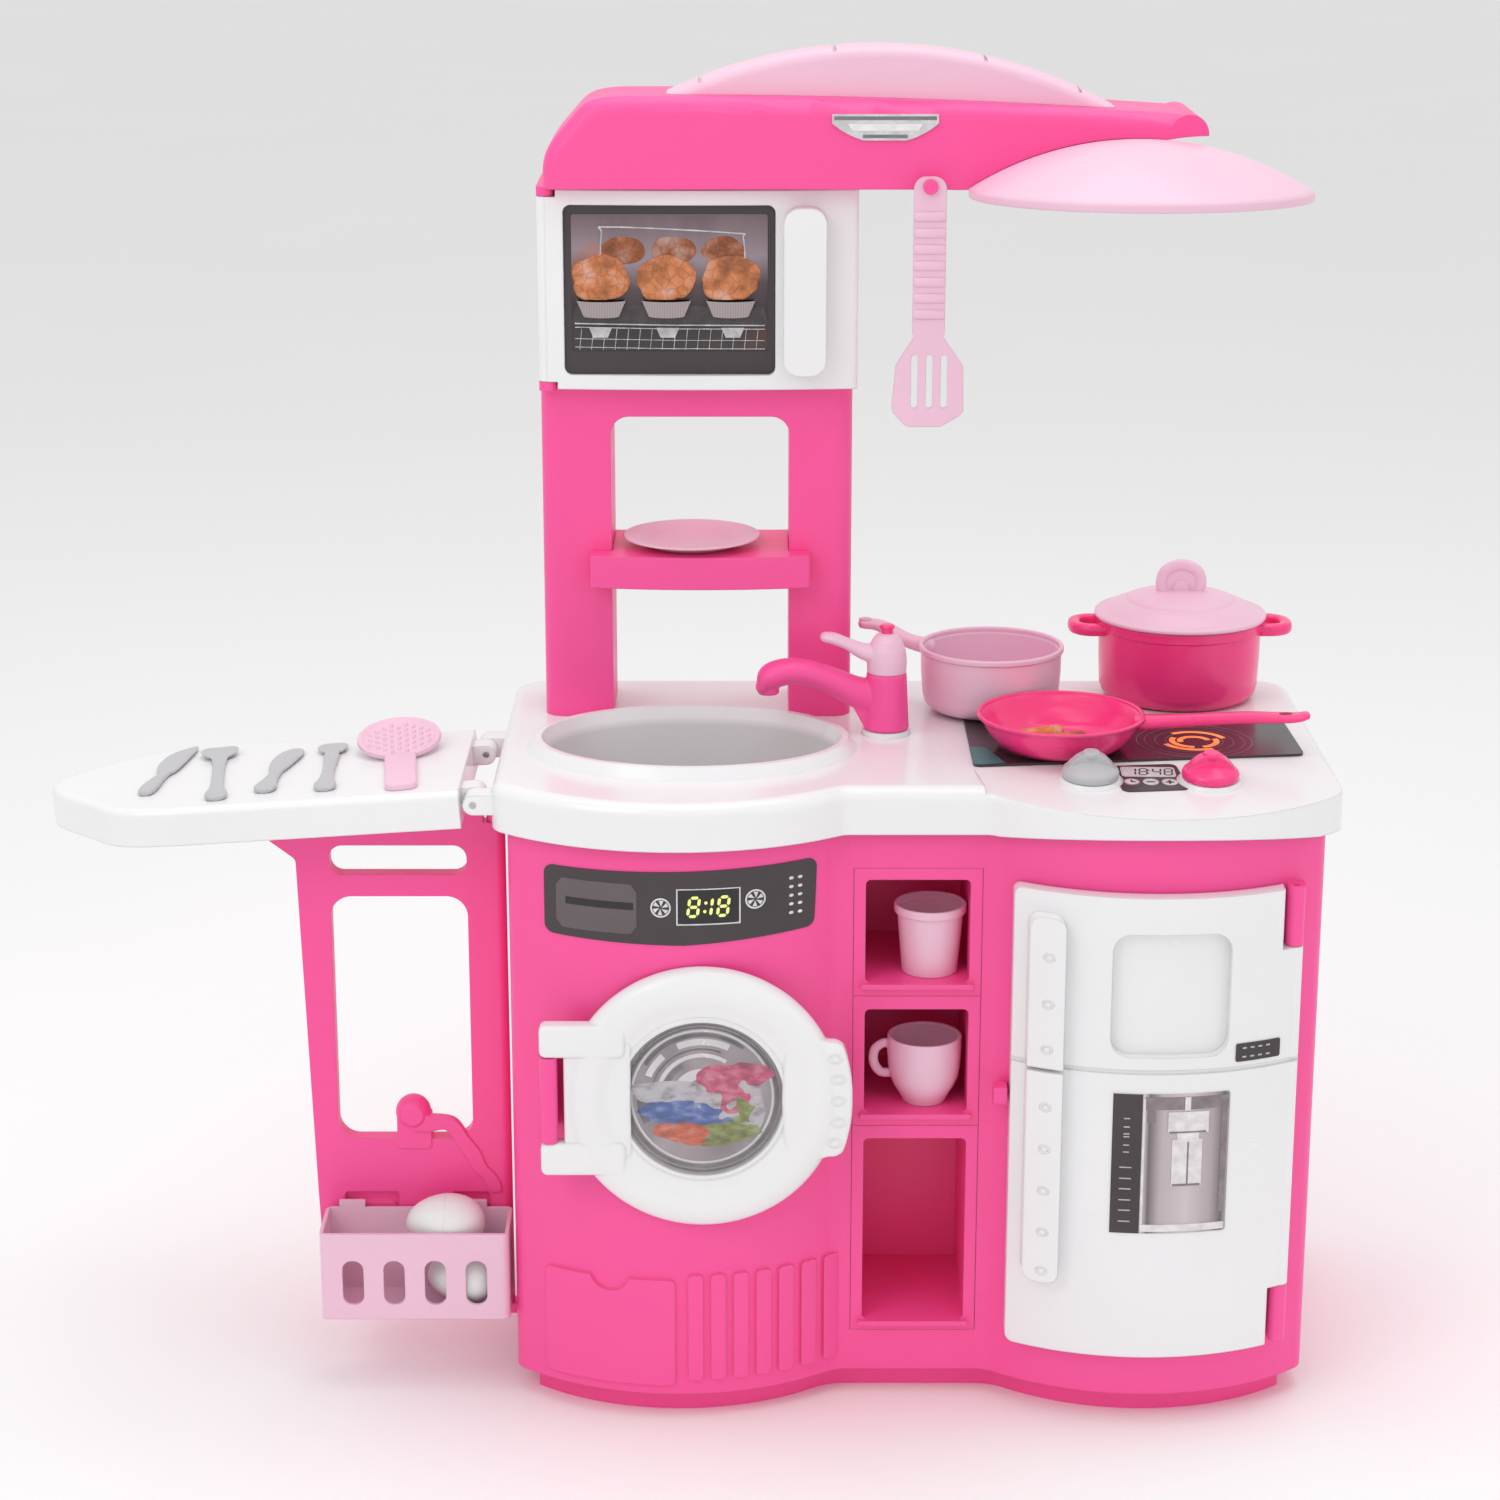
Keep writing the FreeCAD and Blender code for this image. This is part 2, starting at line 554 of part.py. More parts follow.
def washer_door():
    x, z = WASHER_X, WASHER_Z
    back, front = WASHER_DOOR_BACK_Y, WASHER_DOOR_FRONT_Y
    ring = rod(WASHER_DOOR_RADIUS, (x, back, z), (x, front, z))
    outer_edge = [e for e in ring.Edges if abs(e.CenterOfMass.y - front) < 0.01 and len(e.Vertexes) == 1]
    ring = ring.makeFillet(9, outer_edge)
    reach = x - WASHER_HINGE_X
    arms = []
    for side in (-1, 1):
        mid = z + side * WASHER_ARM_OFFSET
        z0, z1 = mid - WASHER_ARM_HEIGHT / 2, mid + WASHER_ARM_HEIGHT / 2
        arm = block(WASHER_HINGE_X, x - reach / 3, WASHER_HINGE_Y - HINGE_RADIUS, back, z0, z1)
        knuckle = Part.makeCylinder(HINGE_RADIUS, z1 - z0, V(WASHER_HINGE_X, WASHER_HINGE_Y, z0))
        arms += [arm, knuckle]
    flap = slab(x + WASHER_DOOR_RADIUS - 30, x + WASHER_DOOR_RADIUS + 10, front + 2, back, z - 46, z + 46, 12, Y_AXIS)
    bore = rod(PIN_RADIUS + RUNNING_FIT, (WASHER_HINGE_X, WASHER_HINGE_Y, z - 100),
               (WASHER_HINGE_X, WASHER_HINGE_Y, z + 100))
    barrel_room = rod(HINGE_RADIUS + 1.0, (WASHER_HINGE_X, WASHER_HINGE_Y, z - WASHER_BARREL_HALF - FACE_GAP),
                      (WASHER_HINGE_X, WASHER_HINGE_Y, z + WASHER_BARREL_HALF + FACE_GAP))
    sight = rod(WASHER_GLASS_RADIUS - 3, (x, back + 1, z), (x, front - 1, z))
    seat = rod(WASHER_GLASS_RADIUS + SHELL_FIT, (x, back + 1, z), (x, back - 8, z))
    return cut(fused(ring, flap, *arms), bore, barrel_room, sight, seat)


def washer_window():
    """The clear domed window, held in a seat from behind."""
    x, z = WASHER_X, WASHER_Z
    rim = rod(WASHER_GLASS_RADIUS, (x, WASHER_DOOR_BACK_Y - 2.5, z), (x, WASHER_DOOR_BACK_Y - 7.7, z))
    radius = WASHER_GLASS_RADIUS - 4
    rise = 9.0
    sphere_radius = (radius ** 2 + rise ** 2) / (2 * rise)
    apex = WASHER_DOOR_BACK_Y - 7.7 - rise
    dome = ball(sphere_radius, (x, apex + sphere_radius, z))
    keep = rod(radius, (x, WASHER_DOOR_BACK_Y - 6, z), (x, apex - 1, z))
    hollow = ball(sphere_radius, (x, apex + 2.5 + sphere_radius, z))
    pocket = rod(radius - 2, (x, WASHER_DOOR_BACK_Y, z), (x, apex - 1, z))
    return fused(rim, dome.common(keep)).cut(hollow.common(pocket))


def washer_picture():
    """The printed disc of laundry behind the window."""
    x, z = WASHER_X, WASHER_Z
    return rod(WASHER_GLASS_RADIUS, (x, WASHER_DOOR_BACK_Y - 0.5, z), (x, WASHER_DOOR_BACK_Y - 2.3, z))


def door_latch():
    """The catch on the cabinet that the fridge door's free edge clicks against."""
    edge = FRIDGE_LEFT - 2
    return slab(edge - 10, edge, bulge_y(1, edge, 14), bulge_y(1, edge), 246, 260, 4, X_AXIS)


# ---- fridge door ----------------------------------------------------------------------------


def fridge_door():
    a, b = FRIDGE_DOOR_GAP, FRIDGE_DOOR_GAP + FRIDGE_DOOR_THICKNESS
    z0, z1 = FRIDGE_BOTTOM, FRIDGE_TOP
    skin = bulge_band(1, a, b, z0, z1)
    panel = skin.common(slab(FRIDGE_LEFT, FRIDGE_HINGE_X, -300, 0, z0, z1, 6, Y_AXIS))
    lugs = [block(FRIDGE_RIGHT - 1, FRIDGE_HINGE_X + 20, -300, 0, z0, z0 + FRIDGE_LUG_HEIGHT + FACE_GAP),
            block(FRIDGE_RIGHT - 1, FRIDGE_HINGE_X + 20, -300, 0, z1 - FRIDGE_LUG_HEIGHT - FACE_GAP, z1)]
    low, high = z0 + FRIDGE_LUG_HEIGHT + FACE_GAP, z1 - FRIDGE_LUG_HEIGHT - FACE_GAP
    knuckle = Part.makeCylinder(HINGE_RADIUS, high - low, V(FRIDGE_HINGE_X, FRIDGE_HINGE_Y, low))
    bore = Part.makeCylinder(PIN_RADIUS + RUNNING_FIT, high - low, V(FRIDGE_HINGE_X, FRIDGE_HINGE_Y, low))
    grip = bulge_band(1, a + 6, b + 12, 115, 403)
    grip = grip.common(slab(80, 106, -300, 0, 116, 402, 9, Y_AXIS))
    recess = bulge_band(1, a + 3.5, b + 5, 290, 396)
    recess = recess.common(slab(140, 226, -300, 0, 296, 390, 14, Y_AXIS))
    split = bulge_band(1, b - 1.5, b + 20, 283, 286)
    door = fused(panel.cut(lugs), knuckle, grip)
    return cut(door, bore, recess, split)


def dispenser_label():
    skin = bulge_band(1, FRIDGE_DOOR_GAP + FRIDGE_DOOR_THICKNESS,
                      FRIDGE_DOOR_GAP + FRIDGE_DOOR_THICKNESS + LABEL_THICKNESS, 150, 275)
    return skin.common(slab(143, 229, -300, 0, 158, 268, 2, Y_AXIS))


def fridge_badge():
    skin = bulge_band(1, FRIDGE_DOOR_GAP + FRIDGE_DOOR_THICKNESS,
                      FRIDGE_DOOR_GAP + FRIDGE_DOOR_THICKNESS + LABEL_THICKNESS, 280, 320)
    return skin.common(slab(232, 266, -300, 0, 290, 304, 1.5, Y_AXIS))


# ---- tower ----------------------------------------------------------------------------------


def tower_frame():
    frame = slab(TOWER_LEFT, TOWER_RIGHT, TOWER_FRONT_Y, TOWER_BACK_Y, WORKTOP_TOP, TOWER_TOP, 14, Z_AXIS)
    gap_left, gap_right = TOWER_LEFT + LEFT_POST_WIDTH, TOWER_RIGHT - RIGHT_POST_WIDTH
    gap = slab(gap_left, gap_right, 0, 200, WORKTOP_TOP - 40, TOWER_TOP - TOWER_BEAM, 14, Y_AXIS)
    return frame.cut(gap)


def tower_shelf():
    gap_left, gap_right = TOWER_LEFT + LEFT_POST_WIDTH, TOWER_RIGHT - RIGHT_POST_WIDTH
    middle = (gap_left + gap_right) / 2
    lip_half = (gap_right - gap_left) / 2 + 16
    bow = 8.0
    radius = (lip_half ** 2 + bow ** 2) / (2 * bow)
    disc = rod(radius, (middle, SHELF_FRONT_Y + radius, SHELF_TOP - SHELF_LIP),
               (middle, SHELF_FRONT_Y + radius, SHELF_TOP))
    lip = block(middle - lip_half, middle + lip_half, SHELF_FRONT_Y - 20, TOWER_FRONT_Y - FACE_GAP,
                SHELF_TOP - SHELF_LIP, SHELF_TOP)
    apron = rounded(disc.common(lip), 3, Z_AXIS)
    pan = block(gap_left + SHELL_FIT, gap_right - SHELL_FIT, TOWER_FRONT_Y - 4, TOWER_BACK_Y - 6,
                SHELF_TOP - SHELF_LIP, SHELF_TOP)
    hollow = block(gap_left + 8, gap_right - 8, SHELF_FRONT_Y + 14, TOWER_BACK_Y - 12,
                   SHELF_TOP - SHELF_LIP - 1, SHELF_TOP - SHELF_THICKNESS)
    return fused(apron, pan).cut(hollow)


# ---- oven -----------------------------------------------------------------------------------

OVEN_TOP = TOWER_TOP + OVEN_HEIGHT
OVEN_FRONT_Y = TOWER_FRONT_Y
OVEN_BACK_Y = TOWER_BACK_Y + 8
OVEN_LEFT = TOWER_LEFT
OVEN_RIGHT = TOWER_RIGHT + 3
OVEN_DOOR_BACK_Y = OVEN_FRONT_Y - 1.5
OVEN_HINGE_X = OVEN_LEFT + HINGE_RADIUS
OVEN_HINGE_Y = OVEN_DOOR_BACK_Y - HINGE_RADIUS
OVEN_LUG_HEIGHT = 7.0


def oven_lug(z0, z1):
    centre = V(OVEN_HINGE_X, OVEN_HINGE_Y, z0)
    knuckle = Part.makeCylinder(HINGE_RADIUS, z1 - z0, centre)
    web = block(OVEN_HINGE_X - HINGE_RADIUS, OVEN_HINGE_X + HINGE_RADIUS, OVEN_HINGE_Y, OVEN_FRONT_Y + 1, z0, z1)
    return fused(knuckle, web).cut(Part.makeCylinder(PIN_RADIUS, z1 - z0, centre))


def oven_housing():
    box = slab(OVEN_LEFT, OVEN_RIGHT, OVEN_FRONT_Y, OVEN_BACK_Y, TOWER_TOP, OVEN_TOP, 6, Z_AXIS)
    cavity = block(OVEN_LEFT + 12, OVEN_RIGHT - 12, 0, OVEN_BACK_Y - OVEN_WALL, TOWER_TOP + 12, OVEN_TOP - 12)
    lugs = [oven_lug(TOWER_TOP, TOWER_TOP + OVEN_LUG_HEIGHT), oven_lug(OVEN_TOP - OVEN_LUG_HEIGHT, OVEN_TOP)]
    return fused(box.cut(cavity), *lugs)


def oven_door():
    """A slightly bowed door with a half-round hinge edge and a broad grip."""
    left, right = OVEN_LEFT, OVEN_RIGHT
    z0, z1 = TOWER_TOP + 2, OVEN_TOP - 2
    bow = 6.0
    half = (right - left) / 2
    radius = (half ** 2 + bow ** 2) / (2 * bow)
    front = OVEN_DOOR_BACK_Y - OVEN_DOOR_THICKNESS - bow
    curve = rod(radius, (left + half, front + radius, z0), (left + half, front + radius, z1))
    panel = curve.common(block(OVEN_HINGE_X, right, front - 5, OVEN_DOOR_BACK_Y, z0, z1))
    free_edge = [e for e in edges_along(panel, Z_AXIS) if e.CenterOfMass.x > right - 1]
    panel = panel.makeFillet(4, free_edge)
    edge = Part.makeCylinder(HINGE_RADIUS, z1 - z0, V(OVEN_HINGE_X, OVEN_HINGE_Y, z0))
    clear = HINGE_RADIUS + 1.5
    notches = [block(left - 5, OVEN_HINGE_X + clear, front - 10, OVEN_DOOR_BACK_Y + 1, low, high)
               for low, high in ((z0 - 1, TOWER_TOP + OVEN_LUG_HEIGHT + FACE_GAP),
                                 (OVEN_TOP - OVEN_LUG_HEIGHT - FACE_GAP, z1 + 1))]
    grip = slab(right - 56, right - 24, front - 12, OVEN_DOOR_BACK_Y - 6, z0 + 12, z1 - 12, 12, Y_AXIS)
    window = slab(left + 20, right - 62, front - 5, OVEN_DOOR_BACK_Y - OVEN_DOOR_THICKNESS + 3,
                  z0 + 11, z1 - 11, 6, Y_AXIS)
    bore = Part.makeCylinder(PIN_RADIUS + RUNNING_FIT, z1 - z0, V(OVEN_HINGE_X, OVEN_HINGE_Y, z0))
    return cut(fused(panel, edge, grip), window, bore, *notches)


def oven_picture():
    """The flat printed window set in the oven door."""
    back = OVEN_DOOR_BACK_Y - OVEN_DOOR_THICKNESS + 3
    z0, z1 = TOWER_TOP + 2, OVEN_TOP - 2
    return slab(OVEN_LEFT + 20 + SHELL_FIT, OVEN_RIGHT - 62 - SHELL_FIT, back - 1.5, back,
                z0 + 11 + SHELL_FIT, z1 - 11 - SHELL_FIT, 6, Y_AXIS)


# ---- hood -----------------------------------------------------------------------------------

HOOD_END_X = 214.0


def lamp_cap(radius, rise, z, grow):
    """A solid spherical cap on a level rim, thickened by grow."""
    sphere_radius = (radius ** 2 + rise ** 2) / (2 * rise)
    sphere = ball(sphere_radius + grow, (LAMP_X, LAMP_Y, z + rise - sphere_radius))
    return sphere.common(rod(radius + grow, (LAMP_X, LAMP_Y, z), (LAMP_X, LAMP_Y, z + rise + grow + 1)))


def tilted(shape):
    """Tip the lamp's front edge up about its middle."""
    shape.rotate(V(LAMP_X, LAMP_Y, LAMP_RIM_Z), X_AXIS, -LAMP_TILT)
    return shape


def hood():
    line = [V(-275, 0, HOOD_BOTTOM), V(-272, 0, HOOD_BOTTOM + 27), V(-254, 0, HOOD_TOP - 16), V(-212, 0, HOOD_TOP)]
    left = Part.BSplineCurve()
    left.interpolate(line, InitialTangent=V(0, 0, 1), FinalTangent=V(1, 0, 0))
    right_top = Part.Arc(V(-212, 0, HOOD_TOP), V(0, 0, HOOD_TOP - 3), V(196, 0, HOOD_TOP - 13))
    nose = Part.Arc(V(196, 0, HOOD_TOP - 13), V(211, 0, HOOD_TOP - 18), V(HOOD_END_X, 0, HOOD_TOP - 28))
    under = Part.BSplineCurve()
    under.interpolate([V(HOOD_END_X, 0, HOOD_TOP - 28), V(150, 0, HOOD_BOTTOM + 28), V(70, 0, HOOD_BOTTOM + 4),
                       V(22, 0, HOOD_BOTTOM)])
    base = Part.LineSegment(V(22, 0, HOOD_BOTTOM), V(-275, 0, HOOD_BOTTOM))
    wire = Part.Wire([c.toShape() for c in (left, right_top, nose, under, base)])
    wire.translate(V(0, HOOD_FRONT_Y, 0))
    body = Part.Face(wire).extrude(V(0, HOOD_BACK_Y - HOOD_FRONT_Y, 0))
    rims = [e for e in body.Edges
            if e.BoundBox.YLength < 0.01 and (e.BoundBox.ZMin > HOOD_TOP - 25 or e.BoundBox.XMax < -200)]
    body = body.makeFillet(12, rims)
    rim_room = rod(LAMP_RADIUS + 0.2, (LAMP_X, LAMP_Y, HOOD_BOTTOM - 20), (LAMP_X, LAMP_Y, LAMP_RIM_Z + 0.1))
    lamp_room = fused(lamp_cap(LAMP_RADIUS, LAMP_RISE, LAMP_RIM_Z, 0.2), rim_room)
    return body.cut(tilted(lamp_room))


def crown_arc_z(x):
    """Height of the crown's top edge: an arc through its two ends and its top."""
    left, right = -206.0, 150.0
    half = (right - left) / 2
    rise = CROWN_TOP - HOOD_TOP + 11
    radius = (half ** 2 + rise ** 2) / (2 * rise)
    return CROWN_TOP - radius + math.sqrt(radius ** 2 - (x - (left + right) / 2) ** 2)


def hood_crown():
    top = Part.Arc(V(-205, 0, crown_arc_z(-205)), V(-28, 0, CROWN_TOP), V(149, 0, crown_arc_z(149)))
    foot_z = HOOD_TOP - 30
    foot = Part.LineSegment(V(149, 0, foot_z), V(-205, 0, foot_z))
    sides = [Part.LineSegment(V(149, 0, crown_arc_z(149)), V(149, 0, foot_z)),
             Part.LineSegment(V(-205, 0, foot_z), V(-205, 0, crown_arc_z(-205)))]
    wire = Part.Wire([top.toShape(), sides[0].toShape(), foot.toShape(), sides[1].toShape()])
    wire.translate(V(0, 48, 0))
    fan = Part.Face(wire).extrude(V(0, 46, 0))
    top_edges = [e for e in fan.Edges if e.BoundBox.YLength < 0.01 and e.CenterOfMass.z > HOOD_TOP + 5]
    fan = fan.makeFillet(8, top_edges)
    grooves = []
    for x in (-159, -60, 51, 121):
        z = crown_arc_z(x)
        groove = block(x - 1.2, x + 1.2, 40, 100, z - 2.5, z + 4)
        grooves.append(groove)
    return fan.cut(grooves).cut(hood())


def hood_badge():
    """A blank half-moon plate on the hood's front face."""
    disc = rod(60, (-23, HOOD_FRONT_Y - 2, HOOD_TOP + 27), (-23, HOOD_FRONT_Y, HOOD_TOP + 27))
    strip = block(-62, 16, HOOD_FRONT_Y - 2, HOOD_FRONT_Y, HOOD_TOP - 31, HOOD_TOP - 12)
    return disc.common(strip)


def lamp_shade():
    outer = lamp_cap(LAMP_RADIUS, LAMP_RISE, LAMP_RIM_Z, 0)
    inner = lamp_cap(LAMP_RADIUS - LAMP_WALL, LAMP_RISE - LAMP_WALL, LAMP_RIM_Z, 0)
    rim = rod(LAMP_RADIUS, (LAMP_X, LAMP_Y, LAMP_RIM_Z - 5), (LAMP_X, LAMP_Y, LAMP_RIM_Z))
    rim = rim.cut(rod(LAMP_RADIUS - LAMP_WALL, (LAMP_X, LAMP_Y, LAMP_RIM_Z - 5), (LAMP_X, LAMP_Y, LAMP_RIM_Z)))
    return tilted(fused(outer.cut(inner), rim))


HOOK_X = 10.0
HOOK_Z = HOOD_BOTTOM + 4.0
HOOK_RADIUS = 3.0
SPATULA_THICKNESS = 3.0
SPATULA_FRONT_Y = HOOD_FRONT_Y - 14.0


def hood_hook():
    peg = rod(HOOK_RADIUS, (HOOK_X, HOOD_FRONT_Y, HOOK_Z), (HOOK_X, SPATULA_FRONT_Y - 4, HOOK_Z))
    head = rod(HOOK_RADIUS + 2.5, (HOOK_X, SPATULA_FRONT_Y - 4, HOOK_Z), (HOOK_X, SPATULA_FRONT_Y - 1, HOOK_Z))
    return fused(peg, head)


def spatula():
    y0, y1 = SPATULA_FRONT_Y, SPATULA_FRONT_Y + SPATULA_THICKNESS
    handle = slab(HOOK_X - 12, HOOK_X + 12, y0, y1, HOOK_Z - 116, HOOK_Z + 7, 9, Y_AXIS)
    outline = [(-9, 108), (9, 108), (26, 132), (27, 168), (10, 178), (-16, 178), (-27, 166), (-24, 132)]
    blade = prism_xz([(HOOK_X + dx, HOOK_Z - down) for dx, down in outline], y0, y1)
    blade = rounded(blade, 8, Y_AXIS)
    slots = [slab(HOOK_X + dx - 2.5, HOOK_X + dx + 2.5, y0 - 1, y1 + 1, HOOK_Z - 164, HOOK_Z - 124,
                  2.4, Y_AXIS)
             for dx in (-10, 1, 12)]
    hole = rod(HOOK_RADIUS + RUNNING_FIT, (HOOK_X, y0 - 1, HOOK_Z), (HOOK_X, y1 + 1, HOOK_Z))
    return cut(fused(handle, blade), hole, *slots)


# ---- ironing board and gate -------------------------------------------------------------------


def drooped(shape):
    """Turn a shape drawn level to the board's resting angle about its hinge."""
    shape.rotate(V(BOARD_HINGE_X, 0, BOARD_HINGE_Z), Y_AXIS, -BOARD_DROOP)
    return shape


def board_outline(inset, z):
    """The board's plan: parallel sides and a long rounded nose at the left."""
    right = BOARD_RIGHT - inset
    front = BOARD_FRONT_Y + inset
    back = BOARD_BACK_Y - inset
    middle = (front + back) / 2
    start = BOARD_LEFT + 118
    nose = Part.BSplineCurve()
    nose.interpolate([V(start, back, z), V(BOARD_LEFT + 38 + 0.7 * inset, back - 31 + 0.3 * inset, z),
                      V(BOARD_LEFT + inset, middle, z),
                      V(BOARD_LEFT + 38 + 0.7 * inset, front + 31 - 0.3 * inset, z), V(start, front, z)],
                     InitialTangent=V(-1, 0, 0), FinalTangent=V(1, 0, 0))
    edges = [Part.LineSegment(V(right, front, z), V(right, back, z)),
             Part.LineSegment(V(right, back, z), V(start, back, z)),
             nose,
             Part.LineSegment(V(start, front, z), V(right, front, z))]
    return Part.Face(Part.Wire([e.toShape() for e in edges]))


def ironing_board():
    low = BOARD_TOP - BOARD_THICKNESS
    body = board_outline(0, low).extrude(V(0, 0, BOARD_THICKNESS))
    rims = [e for e in body.Edges if e.BoundBox.ZMin > BOARD_TOP - 0.01 and e.BoundBox.XMin < BOARD_RIGHT - 1]
    body = body.makeFillet(6, rims)
    hollow = board_outline(BOARD_WALL, low - 1).extrude(V(0, 0, BOARD_THICKNESS - BOARD_WALL + 1))
    rib = block(-560, BOARD_RIGHT - 1, GATE_Y - GATE_HALF, GATE_Y + GATE_HALF, low, BOARD_TOP - 1)
    body = fused(body.cut(hollow), rib)
    pieces = []
    bores = []
    for y0 in board_knuckle_ys():
        y1 = y0 + BOARD_LUG_WIDTH
        pieces.append(rod(BOARD_HINGE_RADIUS, (BOARD_HINGE_X, y0, BOARD_HINGE_Z), (BOARD_HINGE_X, y1, BOARD_HINGE_Z)))
        pieces.append(block(BOARD_RIGHT - 1, BOARD_HINGE_X, y0, y1, BOARD_HINGE_Z - BOARD_HINGE_RADIUS,
                            BOARD_HINGE_Z + BOARD_HINGE_RADIUS))
        bores.append(rod(PIN_RADIUS + RUNNING_FIT, (BOARD_HINGE_X, y0 - 1, BOARD_HINGE_Z),
                         (BOARD_HINGE_X, y1 + 1, BOARD_HINGE_Z)))
    return drooped(fused(body, *pieces).cut(bores))


GATE_CORNER_X = -492.0
GATE_OPENING_LEFT = -437.0
GATE_OPENING_RIGHT = -334.0
GATE_OPENING_BOTTOM = 187.0
GATE_OPENING_TOP = 423.0
GATE_BAR_BOTTOM = 383.0
GATE_BAR_TOP = 400.0
IRON_RELIEF = 2.0
IRON_X = -380.0
IRON_Z = 207.0


def under_board(x):
    """Height of the board's underside above a point of the gate."""
    angle = math.radians(BOARD_DROOP)
    drop = (BOARD_HINGE_Z - BOARD_TOP + BOARD_THICKNESS) / math.cos(angle)
    return BOARD_HINGE_Z - drop + (x - BOARD_HINGE_X) * math.tan(angle)


def iron_relief(y0, y1):
    """The moulded iron shape: a round head on a neck and a wavy handle down to the right."""
    head = ball(13.5, (IRON_X, GATE_Y, IRON_Z)).common(block(IRON_X - 20, IRON_X + 20, y0 - 4, y1, 150, 240))
    neck = slab(IRON_X - 12, IRON_X + 14, y0 - IRON_RELIEF / 2, y1, GATE_OPENING_BOTTOM - 8, IRON_Z, 3, Y_AXIS)
    path = [(0, -3), (16, -7), (28, -8), (38, -21), (46, -33), (51, -44), (59, -53), (61, -62)]
    side = [(4, 4), (-1, 6), (4, 4), (5, 2), (5, 3), (5, 2), (4.5, 2), (4.5, -1)]
    upper = [V(IRON_X + dx + a, y0 - IRON_RELIEF, IRON_Z + dz + b) for (dx, dz), (a, b) in zip(path, side)]
    lower = [V(IRON_X + dx - a, y0 - IRON_RELIEF, IRON_Z + dz - b) for (dx, dz), (a, b) in zip(path, side)]
    rim = Part.BSplineCurve()
    rim.interpolate(upper + lower[::-1], PeriodicFlag=True)
    handle = Part.Face(Part.Wire([rim.toShape()])).extrude(V(0, IRON_RELIEF + 5, 0))
    return [head, neck, handle]


def gate_frame():
    y0, y1 = GATE_Y - GATE_HALF, GATE_Y + GATE_HALF
    corner_z = under_board(GATE_CORNER_X) - FACE_GAP
    outline = [(GATE_HINGE_X, GATE_BOTTOM), (GATE_HINGE_X, GATE_TOP), (GATE_CORNER_X, corner_z),
               (GATE_CORNER_X + 8, corner_z - 13), (-462, 412), (-454, 140), (-450, GATE_BOTTOM)]
    panel = prism_xz(outline, y0, y1)
    corners = [e for e in edges_along(panel, Y_AXIS) if e.CenterOfMass.x < -440 and e.CenterOfMass.z < corner_z - 1]
    panel = panel.makeFillet(6, corners)
    openings = [slab(GATE_OPENING_LEFT, GATE_OPENING_RIGHT, y0 - 1, y1 + 1, GATE_OPENING_BOTTOM, GATE_BAR_BOTTOM,
                     16, Y_AXIS),
                slab(GATE_OPENING_LEFT, GATE_OPENING_RIGHT, y0 - 1, y1 + 1, GATE_BAR_TOP, GATE_OPENING_TOP,
                     10, Y_AXIS)]
    stile = Part.makeCylinder(GATE_HALF, GATE_STILE_TOP - GATE_BOTTOM, V(GATE_HINGE_X, GATE_Y, GATE_BOTTOM))
    notch = block(GATE_HINGE_X - GATE_HALF - 2, GATE_HINGE_X + GATE_HALF + 2, y0 - 1, y1 + 1, GATE_STILE_TOP, GATE_TOP + 1)
    bore = Part.makeCylinder(PIN_RADIUS + RUNNING_FIT, GATE_TOP, V(GATE_HINGE_X, GATE_Y, 0))
    recesses = []
    for x0, x1 in ((-434, -392), (-352, -322)):
        recess = slab(x0, x1, y0 - 1, y0 + 4, 66, 143, 3, Y_AXIS)
        pad = slab(x0 + 4, x1 - 3, y0 + 1.5, y0 + 5, 78, 134, 4, Y_AXIS)
        recesses.append(recess.cut(pad))
    body = fused(panel.cut(openings), stile, *iron_relief(y0, y1))
    return cut(body, notch, bore, *recesses)


BASKET_LEFT = -448.0
BASKET_RIGHT = -304.5
BASKET_FRONT_Y = -122.0
BASKET_BACK_Y = GATE_Y - GATE_HALF - IRON_RELIEF - FACE_GAP
BASKET_BOTTOM = 62.0
BASKET_TOP = 132.0
BASKET_WALL = 3.0


def laundry_basket():
    body = slab(BASKET_LEFT, BASKET_RIGHT, BASKET_FRONT_Y, BASKET_BACK_Y, BASKET_BOTTOM, BASKET_TOP, 6, Z_AXIS)
    inside = block(BASKET_LEFT + BASKET_WALL, BASKET_RIGHT - BASKET_WALL, BASKET_FRONT_Y + BASKET_WALL,
                   BASKET_BACK_Y - BASKET_WALL, BASKET_BOTTOM + BASKET_WALL, BASKET_TOP + 1)
    pitch = (BASKET_RIGHT - BASKET_LEFT) / 4.6
    slots = []
    for i in range(4):
        middle = (BASKET_LEFT + BASKET_RIGHT) / 2 + (i - 1.5) * pitch
        slots.append(slab(middle - 8, middle + 8, BASKET_FRONT_Y - 1, BASKET_FRONT_Y + BASKET_WALL + 1,
                          BASKET_BOTTOM + 12, BASKET_BOTTOM + 48, 7.5, Y_AXIS))
    hooks = [block(x - 10, x + 10, BASKET_BACK_Y - BASKET_WALL, BASKET_BACK_Y, BASKET_TOP - 4, BASKET_TOP + 6)
             for x in (BASKET_LEFT + 20, BASKET_RIGHT - 30)]
    return fused(cut(body, inside, *slots), *hooks)


EGG_HALF_LENGTH = 30.0
EGG_HALF_WIDTH = 21.0
EGG_Y = (BASKET_FRONT_Y + BASKET_BACK_Y) / 2


